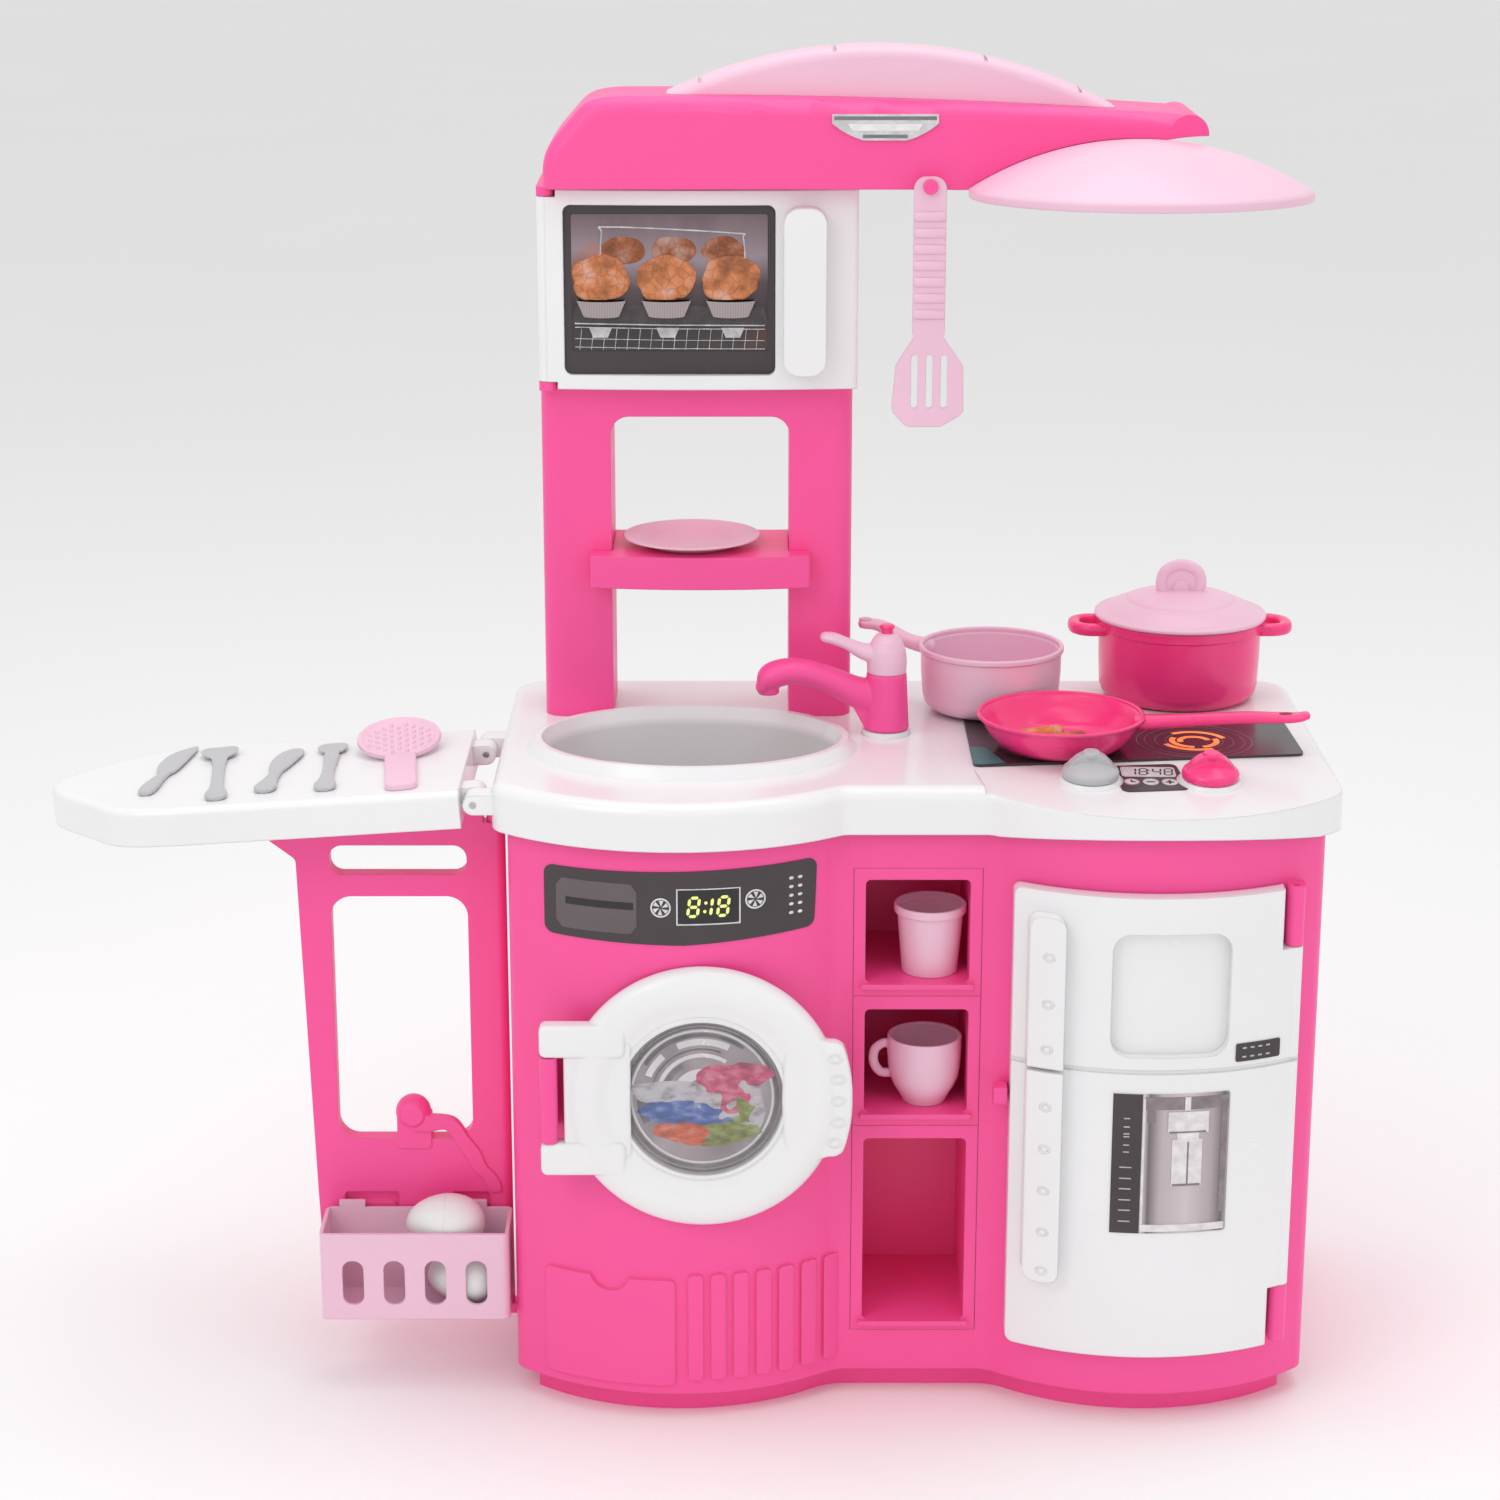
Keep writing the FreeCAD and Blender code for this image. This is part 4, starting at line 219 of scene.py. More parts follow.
@functools.cache
def printed(name, colour, second=None, rough=0.3, metal=0.0, glow=0.0, scale=120.0):
    """Printed ink or foil under a thin gloss film. A glow above zero is painted light: the print shines in its
    own colour as if it were a lamp.
    """
    f = Finish(name)
    cloud = f.noise(scale, 4.0)
    dots = f.noise(2400.0, 1.0)
    tone = f.mix(colour, second or tinted(colour, 0.8), ((cloud - 0.35) * 2.5).held())
    tone = f.mix(tone, toward_white(colour, 0.12), (dots - 0.6).held())
    bump = f.node("ShaderNodeBump", {}, {"Strength": 0.05, "Distance": 0.0003, "Height": cloud})
    return f.close(Base_Color=tone, Roughness=(rough + (cloud - 0.5) * 0.15).held(), Normal=bump,
                   Metallic=metal, Emission_Color=colour, Emission_Strength=glow)


@functools.cache
def steel():
    """Zinc-plated steel with fine turning marks."""
    f = Finish("steel")
    lines = f.noise(900.0, 3.0, (1, 1, 0.1))
    cloud = f.noise(60.0, 3.0)
    soft, near_edge = f.soft_edges(0.4)
    tone = f.mix((0.42, 0.42, 0.44), (0.66, 0.66, 0.67), cloud)
    # Painted highlight: the edges are painted brighter.
    tone = f.mix(tone, (0.8, 0.8, 0.8), (near_edge * 3.0).held() * 0.5)
    bump = f.node("ShaderNodeBump", {}, {"Strength": 0.2, "Distance": 0.0002,
                                         "Height": lines, "Normal": soft})
    return f.close(Base_Color=tone, Metallic=1.0, Roughness=0.25 + lines * 0.2, Normal=bump)


@functools.cache
def clear():
    """Clear moulded polystyrene: nearly invisible head on, bright at a slant from its real gloss and from a
    painted reflection, as its white turns opaque, with faint flow marks.
    """
    f = Finish("clear")
    marks = f.noise(30.0, 3.0)
    slant = f.node("ShaderNodeFresnel", {}, {"IOR": 1.5})
    bump = f.node("ShaderNodeBump", {}, {"Strength": 0.1, "Distance": 0.001, "Height": marks})
    # Painted reflection: the white grows opaque at a slant, on top of the real gloss.
    return f.close(Base_Color=f.mix((0.9, 0.9, 0.92), (1, 1, 1), marks), Roughness=0.03 + marks * 0.04,
                   Normal=bump, Alpha=(0.03 + slant * 0.8).held())


@functools.cache
def cloth(name, colour):
    """Printed laundry: folds in two tones with a fine weave."""
    f = Finish(name)
    folds = f.noise(90.0, 3.0, (1.0, 1.0, 2.0))
    weave = f.noise(1800.0, 0.0)
    tone = f.ramp(folds, [(0.25, tinted(colour, 0.35)), (0.5, colour),
                          (0.75, toward_white(colour, 0.35))])
    bump = f.node("ShaderNodeBump", {}, {"Strength": 0.5, "Distance": 0.002,
                                         "Height": folds * 2 + weave * 0.2})
    return f.close(Base_Color=tone, Roughness=0.75, Normal=bump)


def crust(name, colour):
    """Baked crust: cracked, sugared and darker where it browned."""
    f = Finish(name)
    patch = f.noise(60.0, 4.0)
    cracks = f.node("ShaderNodeTexVoronoi", {"feature": "DISTANCE_TO_EDGE"},
                    {"Vector": f.place(), "Scale": 130.0})
    sugar = f.noise(700.0, 2.0)
    tone = f.ramp(patch, [(0.3, tinted(colour, 0.45)), (0.5, colour),
                          (0.72, toward_white(colour, 0.25))])
    tone = f.mix(tone, tinted(colour, 0.25), (1 - cracks * 9.0).held() * 0.35)
    tone = f.mix(tone, toward_white(colour, 0.5), (sugar - 0.62).held() * 1.6)
    bump = f.node("ShaderNodeBump", {}, {"Strength": 0.6, "Distance": 0.0012,
                                         "Height": patch * 2 + sugar * 0.5})
    return f.close(Base_Color=tone, Roughness=0.6 + patch * 0.2, Normal=bump)


# ---- shapes: every shape is (points in mm, faces) ------------------------------------------------


def flow(points, steps=6, closed=False):
    """A smooth line through the points."""
    points = [Vector(p) for p in points]
    count = len(points)
    line = []
    for i in range(count if closed else count - 1):
        if closed:
            a, b, c, d = (points[(i + k) % count] for k in (-1, 0, 1, 2))
        else:
            b, c = points[i], points[i + 1]
            a = points[i - 1] if i else b * 2 - c
            d = points[i + 2] if i + 2 < count else c * 2 - b
        for k in range(steps):
            t = k / steps
            line.append(0.5 * (2 * b + (c - a) * t + (2 * a - 5 * b + 4 * c - d) * t * t
                               + (3 * b - a - 3 * c + d) * t ** 3))
    if not closed:
        line.append(points[-1])
    return line


def lathe(profile, segments=96):
    """A solid of revolution about Z from (radius, height) pairs."""
    verts, faces, rows = [], [], []
    for radius, height in profile:
        if radius < 1e-6:
            rows.append([len(verts)])
            verts.append((0.0, 0.0, height))
            continue
        rows.append(list(range(len(verts), len(verts) + segments)))
        verts += [(radius * math.cos(TURN * i / segments), radius * math.sin(TURN * i / segments), height)
                  for i in range(segments)]
    for low, high in zip(rows, rows[1:]):
        for i in range(segments):
            j = (i + 1) % segments
            corners = [low[i % len(low)], low[j % len(low)], high[j % len(high)], high[i % len(high)]]
            unique = list(dict.fromkeys(corners))
            if len(unique) > 2:
                faces.append(unique)
    return verts, faces


def loft(rings, capped=True):
    """A skin over closed rings that all have the same number of points."""
    count = len(rings[0])
    verts = [tuple(p) for ring in rings for p in ring]
    faces = []
    for k in range(len(rings) - 1):
        for i in range(count):
            j = (i + 1) % count
            faces.append((k * count + i, k * count + j, (k + 1) * count + j, (k + 1) * count + i))
    if capped:
        faces.append(tuple(range(count))[::-1])
        faces.append(tuple(range((len(rings) - 1) * count, len(rings) * count)))
    return verts, faces


# Sections of a rounded end: share of the full size, and how far out in half sizes.
TUBE_END = ((0.05, 1.0), (0.5, 0.87), (0.87, 0.5))


def tube(path, sizes, sides=24, up=(0, 0, 1), square=1.0):
    """A swept bar with rounded ends. sizes is (half width, half height) of the whole path or of each point.

    A square above 1 flattens its sides.
    """
    path = [Vector(p) for p in path]
    if not hasattr(sizes[0], "__len__"):
        sizes = [sizes] * len(path)
    stations = []
    for i, (point, size) in enumerate(zip(path, sizes)):
        ahead = path[min(i + 1, len(path) - 1)] - path[max(i - 1, 0)]
        stations.append((point, ahead.normalized(), size))

    def cap(station, way):
        point, along, size = station
        return [(point + along * min(size) * back * way, along, tuple(s * share for s in size))
                for share, back in TUBE_END]

    power = 1.0 / square
    rings = []
    for point, along, (width, height) in cap(stations[0], -1) + stations + cap(stations[-1], 1)[::-1]:
        side = Vector(up).cross(along).normalized()
        top = along.cross(side).normalized()
        ring = []
        for k in range(sides):
            c, s = math.cos(TURN * k / sides), math.sin(TURN * k / sides)
            ring.append(point + side * width * math.copysign(abs(c) ** power, c)
                        + top * height * math.copysign(abs(s) ** power, s))
        rings.append(ring)
    return loft(rings)


def rod(points, girths, steps, sides, square=1.0):
    """A bar along a smooth line through the points, with a (half width, half height) at each."""
    widths = flow([(*girth, 0) for girth in girths], steps)
    return tube(flow(points, steps), [(w.x, w.y) for w in widths], sides, square=square)


def inset(outline, by):
    """The outline moved inward."""
    count = len(outline)
    area = sum(outline[i][0] * outline[(i + 1) % count][1] - outline[(i + 1) % count][0] * outline[i][1]
               for i in range(count))
    sign = 1 if area > 0 else -1
    moved = []
    for i in range(count):
        a, b, c = (Vector(outline[(i + k) % count][:2]) for k in (-1, 0, 1))
        normal = Vector((0.0, 0.0))
        for edge in (b - a, c - b):
            if edge.length > 1e-9:
                edge.normalize()
                normal += Vector((-edge.y, edge.x))
        if normal.length > 1e-9:
            normal.normalize()
        moved.append(tuple(b + normal * by * sign))
    return moved


def pad(outline, place, low, high, soft=0.0, steps=4):
    """An outline thickened from low to high, with its upper edge rounded by soft."""
    rings = [[place(u, v, low) for u, v in outline]]
    for k in range(steps + 1 if soft else 1):
        a = math.pi / 2 * k / steps
        shrunk = inset(outline, soft * (1 - math.cos(a))) if soft else outline
        height = high - soft + soft * math.sin(a) if soft else high
        rings.append([place(u, v, height) for u, v in shrunk])
    return loft(rings)


def band(outer, inner, place, low, high):
    """A flat band between two outlines with the same number of points."""
    rings = [[place(u, v, h) for u, v in line]
             for line, h in ((outer, low), (outer, high), (inner, high), (inner, low))]
    return loft(rings, capped=False)


def round_box(left, right, bottom, top, radius, steps=6):
    """The outline of a rectangle with round corners."""
    outline = []
    for cx, cy, start in ((right - radius, top - radius, 0), (left + radius, top - radius, 1),
                          (left + radius, bottom + radius, 2), (right - radius, bottom + radius, 3)):
        for k in range(steps + 1):
            a = math.pi / 2 * (start + k / steps)
            outline.append((cx + radius * math.cos(a), cy + radius * math.sin(a)))
    return outline


def rect(left, right, bottom, top):
    return [(left, bottom), (right, bottom), (right, top), (left, top)]


def ring_line(cx, cy, rx, ry=None, count=40):
    """The outline of a circle or an ellipse."""
    return [(cx + rx * math.cos(TURN * k / count), cy + (ry or rx) * math.sin(TURN * k / count))
            for k in range(count)]


def arc(cx, cy, inner, outer, start, end, place, high, steps):
    """A stretch of a flat ring, as a row of short pads."""
    pads = []
    for k in range(steps):
        a, b = (start + (end - start) * (k + i) / steps for i in (0, 1))
        corners = [(cx + r * math.cos(t), cy + r * math.sin(t))
                   for r, t in ((inner, a), (outer, a), (outer, b), (inner, b))]
        pads.append(pad(corners, place, -0.05, high))
    return pads


def lump(cx, cz, rx, rz, front, depth, seed, rough=0.3, rings=14, sides=48, spread=0.15):
    """A lumpy dome that stands out towards -Y from a flat picture."""
    verts, faces = [], []
    for i in range(rings + 1):
        share = i / rings
        for k in range(sides):
            a = TURN * k / sides
            ragged = 1 + spread * noise.noise((math.cos(a) * 1.3 + seed, math.sin(a) * 1.3, seed * 2.1))
            x = rx * share * ragged * math.cos(a)
            z = rz * share * ragged * math.sin(a)
            bumps = 1 + rough * noise.noise((x * 0.12 + seed, z * 0.16, seed))
            verts.append((cx + x, front - depth * math.sqrt(max(0.0, 1 - share ** 2)) * bumps, cz + z))
    for i in range(rings):
        for k in range(sides):
            j = (k + 1) % sides
            faces.append((i * sides + k, i * sides + j, (i + 1) * sides + j, (i + 1) * sides + k))
    return verts, faces


def moved(shape, matrix):
    verts, faces = shape
    return [tuple(matrix @ Vector(v)) for v in verts], faces


def at(x, y, z):
    return Matrix.Translation((x, y, z))


FACING = Matrix.Rotation(math.pi / 2, 4, "X")
NODE_SHARP = math.radians(32)


def piece(name, shapes, finish, body, nodes=(), slot=None, rounds=0, voxel=0.0, ease=0, sharp=38):
    """Joins shapes to one object, gives it a finish and parents it to an empty named after its CAD body."""
    verts, faces = [], []
    for points, sides in shapes:
        start = len(verts)
        verts += [Vector(p) * MM for p in points]
        faces += [tuple(start + i for i in side) for side in sides]
    mesh = bpy.data.meshes.new(name)
    mesh.from_pydata(verts, [], faces)
    work = bmesh.new()
    work.from_mesh(mesh)
    bmesh.ops.remove_doubles(work, verts=work.verts, dist=1e-6)
    bmesh.ops.recalc_face_normals(work, faces=work.faces)
    work.to_mesh(mesh)
    work.free()
    obj = bpy.data.objects.new(name, mesh)
    bpy.context.scene.collection.objects.link(obj)
    if voxel:
        remesh = obj.modifiers.new("remesh", "REMESH")
        remesh.mode = "VOXEL"
        remesh.voxel_size = voxel * MM
    if ease:
        smooth = obj.modifiers.new("ease", "SMOOTH")
        smooth.iterations = ease
        smooth.factor = 0.5
    if rounds:
        subdivision = obj.modifiers.new("rounds", "SUBSURF")
        subdivision.levels = subdivision.render_levels = rounds
    if obj.modifiers:
        graph = bpy.context.evaluated_depsgraph_get()
        final = bpy.data.meshes.new_from_object(obj.evaluated_get(graph))
        obj.modifiers.clear()
        obj.data = final
    obj.data.name = name
    obj.data.shade_smooth()
    obj.data.set_sharp_from_angle(angle=math.radians(sharp))
    obj.data.materials.clear()
    obj.data.materials.append(finish)
    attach(obj, body)
    if nodes:
        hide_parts(*nodes)
    return obj


def shell(node, shapes, finish, slot, **more):
    """The piece that stands in for a CAD node that is a body of its own."""
    return piece(f"{node}_shell", shapes, finish, node, [node], slot, **more)


def label(name, shapes, finish, body):
    """A printed piece."""
    return piece(name, shapes, finish, body, slot="label")


def box_mm(node):
    low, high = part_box(node)
    return Vector(low) / MM, Vector(high) / MM


def centred(node):
    """The box of a node in mm, and the middle of its plan."""
    low, high = box_mm(node)
    return low, high, (low.x + high.x) / 2, (low.y + high.y) / 2


def shares(low, high):
    """Turns shares of a label's width and height, from its upper left corner, into x and z."""
    width, tall = high.x - low.x, high.z - low.z
    return (lambda share: low.x + width * share), (lambda share: high.z - tall * share)


def finish_nodes(material, *names):
    for name in names:
        node = frame["nodes"][name]
        node.data.materials.clear()
        node.data.materials.append(material)
        node.data.shade_smooth()
        node.data.set_sharp_from_angle(angle=NODE_SHARP)


# ---- places measured on the frame ---------------------------------------------------------------

# The bulges' middle and curve in plan, how far the fridge door stands out, and a label's thickness.
BULGE_X = 175.0
BULGE_CENTRE_Y = 23.0
BULGE_RADIUS = 186.0
FRIDGE_FACE = 13.5
GRIP_FACE = FRIDGE_FACE + 12.0
LABEL_FACE = 0.8
# The basin's oval in plan, and the height from which its grey starts.
SINK_X, SINK_Y, SINK_HALF_X, SINK_HALF_Y = -166.0, -22.0, 113.0, 88.0
SINK_RIM_Z = 488.0
LAMP_RIM_Z = 901.0
BOARD_FACE_Z = 481.2
TIMER_SPOT = (171.0, -96.0)
RED_HOB = (214, -14)
SAUCEPAN_RADIUS = 56.5
FRYING_PAN_RADIUS = 63.0
MUG_RADIUS = 28.0
CUP_WALL = 1.8


def bulge_place(side, out):
    """Puts (x, z, height) on the curved front of one bulge, out from its surface."""

    def place(x, z, h):
        across = x - side * BULGE_X
        return x, BULGE_CENTRE_Y - math.sqrt((BULGE_RADIUS + out + h) ** 2 - across ** 2), z

    return place


def front_place(y, way=-1):
    """Puts (x, z, height) on an upright plane, out from it towards the front, or the back with way 1."""
    return lambda x, z, h: (x, y + way * h, z)


def top_place(z):
    return lambda x, y, h: (x, y, z + h)


def slope_matrix(x, y):
    """The matrix of the sloping control area at a point of the plan, from the knob joints."""
    joint = JOINTS["knob_left_turn"]
    normal = Vector(joint["axis"]).normalized()
    origin = Vector(joint["pos_m"]) / MM
    z = origin.z - (normal.x * (x - origin.x) + normal.y * (y - origin.y)) / normal.z
    across = Vector((1, 0, -normal.x / normal.z)).normalized()
    back = normal.cross(across)
    turn = Matrix((across, back, normal)).transposed().to_4x4()
    return Matrix.Translation((x, y, z)) @ turn


# ---- sizes and colours that a user may change -----------------------------------------------------


def colour_property(label, description, default):
    return bpy.props.FloatVectorProperty(name=label, description=description, subtype="COLOR", size=3,
                                         min=0.0, max=1.0, default=default)


class KitchenColours(bpy.types.PropertyGroup):
    """Colours of the mouldings."""

    hot_pink: colour_property("Hot pink", "Cabinet, tower, hood and gate", (1.0, 0.088, 0.345))
    deep_pink: colour_property("Deep pink", "Pot, frying pan and pink knob", (0.98, 0.045, 0.24))
    pale_pink: colour_property("Pale pink", "Lamp, crown, basket, cups and lid", (0.86, 0.55, 0.69))
    white: colour_property("White", "Worktop, doors and ironing board", (0.86, 0.86, 0.87))
    basin: colour_property("Basin", "Inside of the washing-up basin", (0.62, 0.62, 0.62))
    grey: colour_property("Grey", "Cutlery and grey knob", (0.50, 0.50, 0.52))
    egg: colour_property("Egg", "Toy eggs", (0.80, 0.82, 0.80))


class KitchenSizes(bpy.types.PropertyGroup):
    """Sizes of the finish and of the moulded pieces."""

    edge_round: bpy.props.FloatProperty(name="Edge round", description="Rounding of moulded edges",
                                        default=0.0014, min=0.0, unit="LENGTH")
    vessel_wall: bpy.props.FloatProperty(name="Vessel wall", description="Wall of pots and cups",
                                         default=0.0025, min=0.001, unit="LENGTH")
    print_height: bpy.props.FloatProperty(name="Print height", description="Thickness of printed marks",
                                          default=0.00025, min=0.0001, unit="LENGTH")


def colours():
    return bpy.context.scene.kitchen_colours


def sizes():
    return bpy.context.scene.kitchen_sizes


def hot_pink():
    return plastic("hot_pink", tuple(colours().hot_pink), rough=0.38, edge=sizes().edge_round / MM)


def deep_pink():
    return plastic("deep_pink", tuple(colours().deep_pink), rough=0.24, coat=0.15, edge=0.8)


def pale_pink():
    return plastic("pale_pink", tuple(colours().pale_pink), rough=0.34, edge=sizes().edge_round / MM,
                   edge_highlight=0.3)


def white():
    return plastic("white", tuple(colours().white), rough=0.24, coat=0.2, edge=2.0, edge_highlight=0.1, grain=0.05)


def grey():
    return plastic("grey", tuple(colours().grey), rough=0.3, edge=0.6)


# ---- operators ------------------------------------------------------------------------------------


FLOOR_REACH = 30.0
SKY_STRENGTH = 0.78
LIGHTS = (("key", 14, 1.4, (-1.6, -2.0, 2.4)), ("fill", 4, 1.8, (2.0, -1.8, 1.4)),
          ("top", 26, 2.4, (0.1, 0.1, 3.0)))
LIGHT_TARGET = Vector((0, 0, 0.5))
CAMERA_PLACE = (-0.122, -2.470, 1.200)
CAMERA_TILT = math.radians(73.7)
CAMERA_LENS, CAMERA_SENSOR = 81.12, 36.0


class KITCHEN_OT_stage(bpy.types.Operator):
    """Floor, soft studio lights and camera"""

    bl_idname = "kitchen.stage"
    bl_label = "Stage"

    def execute(self, context):
        scene = context.scene
        scene.view_settings.view_transform = "Standard"
        f = Finish("pale_floor")
        cloud = f.noise(1.2, 3.0)
        tone = f.mix((0.93, 0.93, 0.93), (0.96, 0.96, 0.96), cloud)
        material = f.close(Base_Color=tone, Roughness=0.75)
        mesh = bpy.data.meshes.new("floor")
        corners = rect(-FLOOR_REACH, FLOOR_REACH, -FLOOR_REACH, FLOOR_REACH)
        mesh.from_pydata([(x, y, 0) for x, y in corners], [], [(0, 1, 2, 3)])
        mesh.materials.append(material)
        floor = bpy.data.objects.new("floor", mesh)
        scene.collection.objects.link(floor)

        world = bpy.data.worlds.new("studio")
        scene.world = world
        world.use_nodes = True
        sky = world.node_tree.nodes["Background"].inputs
        sky["Color"].default_value = (1, 1, 1, 1)
        sky["Strength"].default_value = SKY_STRENGTH

        for name, energy, size, spot in LIGHTS:
            data = bpy.data.lights.new(name, "AREA")
            data.energy = energy
            data.size = size
            light = bpy.data.objects.new(name, data)
            light.location = spot
            light.rotation_euler = (LIGHT_TARGET - Vector(spot)).to_track_quat("-Z", "Y").to_euler()
            scene.collection.objects.link(light)

        data = bpy.data.cameras.new("camera")
        data.lens = CAMERA_LENS
        data.sensor_width = CAMERA_SENSOR
        camera = bpy.data.objects.new("camera", data)
        camera.location = CAMERA_PLACE
        camera.rotation_euler = (CAMERA_TILT, 0, 0)
        scene.collection.objects.link(camera)
        scene.camera = camera
        return {"FINISHED"}


class KITCHEN_OT_mouldings(bpy.types.Operator):
    """Finishes of the large mouldings that come from the frame"""

    bl_idname = "kitchen.mouldings"
    bl_label = "Mouldings"

    def execute(self, context):
        finish_nodes(hot_pink(), "plinth", "cabinet_front", "cabinet_rear", "niche_bottom", "niche_middle",
                     "niche_top", "tower_frame", "tower_shelf", "oven_housing", "hood", "hood_hook",
                     "gate_frame", "gate_brackets", "door_latch")
        finish_nodes(white(), "washer_tub", "fridge_liner", "fridge_shelf", "fridge_door", "oven_door",
                     "ironing_board")
        finish_nodes(self.worktop_finish(), "worktop")
        finish_nodes(pale_pink(), "hood_crown", "laundry_basket", "spatula")
        finish_nodes(steel(), "hinge_pins", "screws")
        return {"FINISHED"}

    @staticmethod
    def worktop_finish():
        """White gloss that turns to the basin's grey inside the sink."""
        f = Finish("worktop_white")
        x, y, z = f.axes()
        oval = ((x - SINK_X) / SINK_HALF_X) ** 2 + ((y - SINK_Y) / SINK_HALF_Y) ** 2
        lowered = ((z * -1 + SINK_RIM_Z) / 6.0).held()
        in_basin = ((oval * -1 + 1.02) * 12).held() * lowered
        drift = f.noise(5.0, 3.0)
        smear = f.noise(18.0, 4.0)
        pores = f.noise(1500.0, 1.0)
        soft, near_edge = f.soft_edges(2.0)
        shade = tuple(colours().white)
        tone = f.mix(tinted(shade, 0.96), tinted(shade, 1.03), drift)
        tone = f.mix(tone, tuple(colours().basin), in_basin)
        # Painted highlight: the base colour is painted slightly paler near edges.
        tone = f.mix(tone, toward_white(shade, 0.4), (near_edge * 4.0).held() * 0.1)
        bump = f.node("ShaderNodeBump", {}, {"Strength": 0.05, "Distance": 0.0004,
                                             "Height": pores + smear, "Normal": soft})
        return f.close(Base_Color=tone, Roughness=(0.22 + (smear - 0.5) * 0.14).held(), Normal=bump,
                       Coat_Weight=0.2, Coat_Roughness=0.12, IOR=1.47)


class KITCHEN_OT_tap(bpy.types.Operator):
    """Mixer tap with its lever and button"""

    bl_idname = "kitchen.tap"
    bl_label = "Tap"

    def execute(self, context):
        low, high, x, y = centred("tap_button")
        foot = box_mm("tap_body")[0].z
        barrel = lathe([(0, foot), (17.0, foot), (17.4, foot + 1), (16.6, foot + 14), (15.2, foot + 43.6),
                        (14.6, foot + 44), (0, foot + 44)])
        spout = rod([(x + 3, y, 512), (x - 24, y, 520), (x - 48, y, 531), (x - 70, y, 536), (x - 88, y, 532),
                     (x - 95, y, 524)],
                    [(10.5, 15.0), (11.5, 12.0), (11.5, 10.0), (12.5, 10.0), (13.5, 10.0), (11.0, 5.0)],
                    5, 32)
        nozzle = moved(lathe([(0, 0), (7.5, 0), (8.2, 1.2), (8.2, 6), (0, 6)], 40), at(x - 90, y, 518))
        web = pad([(x - 16, foot), (x - 6, foot), (x - 4, foot + 26), (x - 30, foot + 26)],
                  front_place(y, 1), -7, 7, 2)
        shell("tap_body", [moved(barrel, at(x, y, 0)), spout, nozzle, web], hot_pink(), "pink",
              voxel=0.8, ease=5)
        base = box_mm("tap_lever")[0].z
        dome = lathe([(0, base), (14.6, base), (15.0, base + 1), (15.2, base + 10), (14.2, base + 18),
                      (11.5, base + 25), (8.0, base + 29.5), (6.0, base + 30.6), (0, base + 30.8)])
        lever = rod([(x - 2, y, base + 13), (x - 17, y, base + 16), (x - 30, y, base + 22),
                     (x - 40, y, base + 26), (x - 47, y, base + 27.4)],
                    [(10.5, 8.5), (9.5, 6.4), (8.0, 4.4), (8.6, 4.4), (7.4, 3.8)], 5, 28)
        shell("tap_lever", [moved(dome, at(x, y, 0)), lever], pale_pink(), "light_pink", voxel=0.7, ease=4)
        top = high.z
        cap = lathe([(0, low.z), (4.2, low.z), (4.4, low.z + 1), (4.4, top - 3.4), (5.6, top - 3.2),
                     (5.9, top - 1.8), (4.6, top - 0.5), (0, top)], 40)
        piece("tap_button_cap", [moved(cap, at(x, y, 0))], deep_pink(), "tap_button", ["tap_button"],
              "deep_pink")
        return {"FINISHED"}


class KITCHEN_OT_knobs(bpy.types.Operator):
    """The two rotary knobs of the hob"""

    bl_idname = "kitchen.knobs"
    bl_label = "Knobs"

    def execute(self, context):
        for side, finish, slot in (("left", grey(), "grey"), ("right", deep_pink(), "deep_pink")):
            joint = JOINTS[f"knob_{side}_turn"]
            spot = slope_matrix(joint["pos_m"][0] / MM, joint["pos_m"][1] / MM)
            skirt = lathe([(0, 3.3), (20.4, 3.3), (21, 4.1), (21, 7.6), (19.8, 9.4), (16.5, 11.4), (12, 13.6),
                           (7, 15.2), (0, 15.6)])
            arch = flow([(-18.5, 9.0), (-15.5, 13.5), (-9.5, 19.0), (-3, 21.6), (3, 21.6), (9.5, 19.0),
                         (15.5, 13.5), (18.5, 9.0)], 4)
            fin = [tuple(p) for p in arch] + [(16, 6), (-16, 6)]
            handle, under = (pad(fin, front_place(0.0, way), -5.2, 5.2, 1.6) for way in (1, -1))
            disc = lathe([(0, 19), (6.2, 19), (6.4, 20), (6.4, 22.0), (5.6, 22.9), (0, 23.0)], 40)
            piece(f"knob_{side}_grip", [moved(s, spot) for s in (skirt, handle, under, disc)], finish,
                  f"knob_{side}", [f"knob_{side}"], slot, voxel=0.45, ease=2)
        return {"FINISHED"}


def vessel(outer, wall, x, y, z):
    """A pot or cup with a round lip, from its outside, which runs from the middle of the foot to the rim."""
    rim, edge = outer[-1]
    inner = [(max(0.0, r - wall), h + (wall if r < rim * 0.9 else 0.0)) for r, h in outer[:-1]]
    half = (wall + 0.9) / 2
    lip = [(rim - half + half * math.cos(a), edge - half + half * math.sin(a))
           for a in (math.pi * k / 8 for k in range(-1, 10))]
    return moved(lathe(outer[:-1] + lip + inner[::-1]), at(x, y, z))


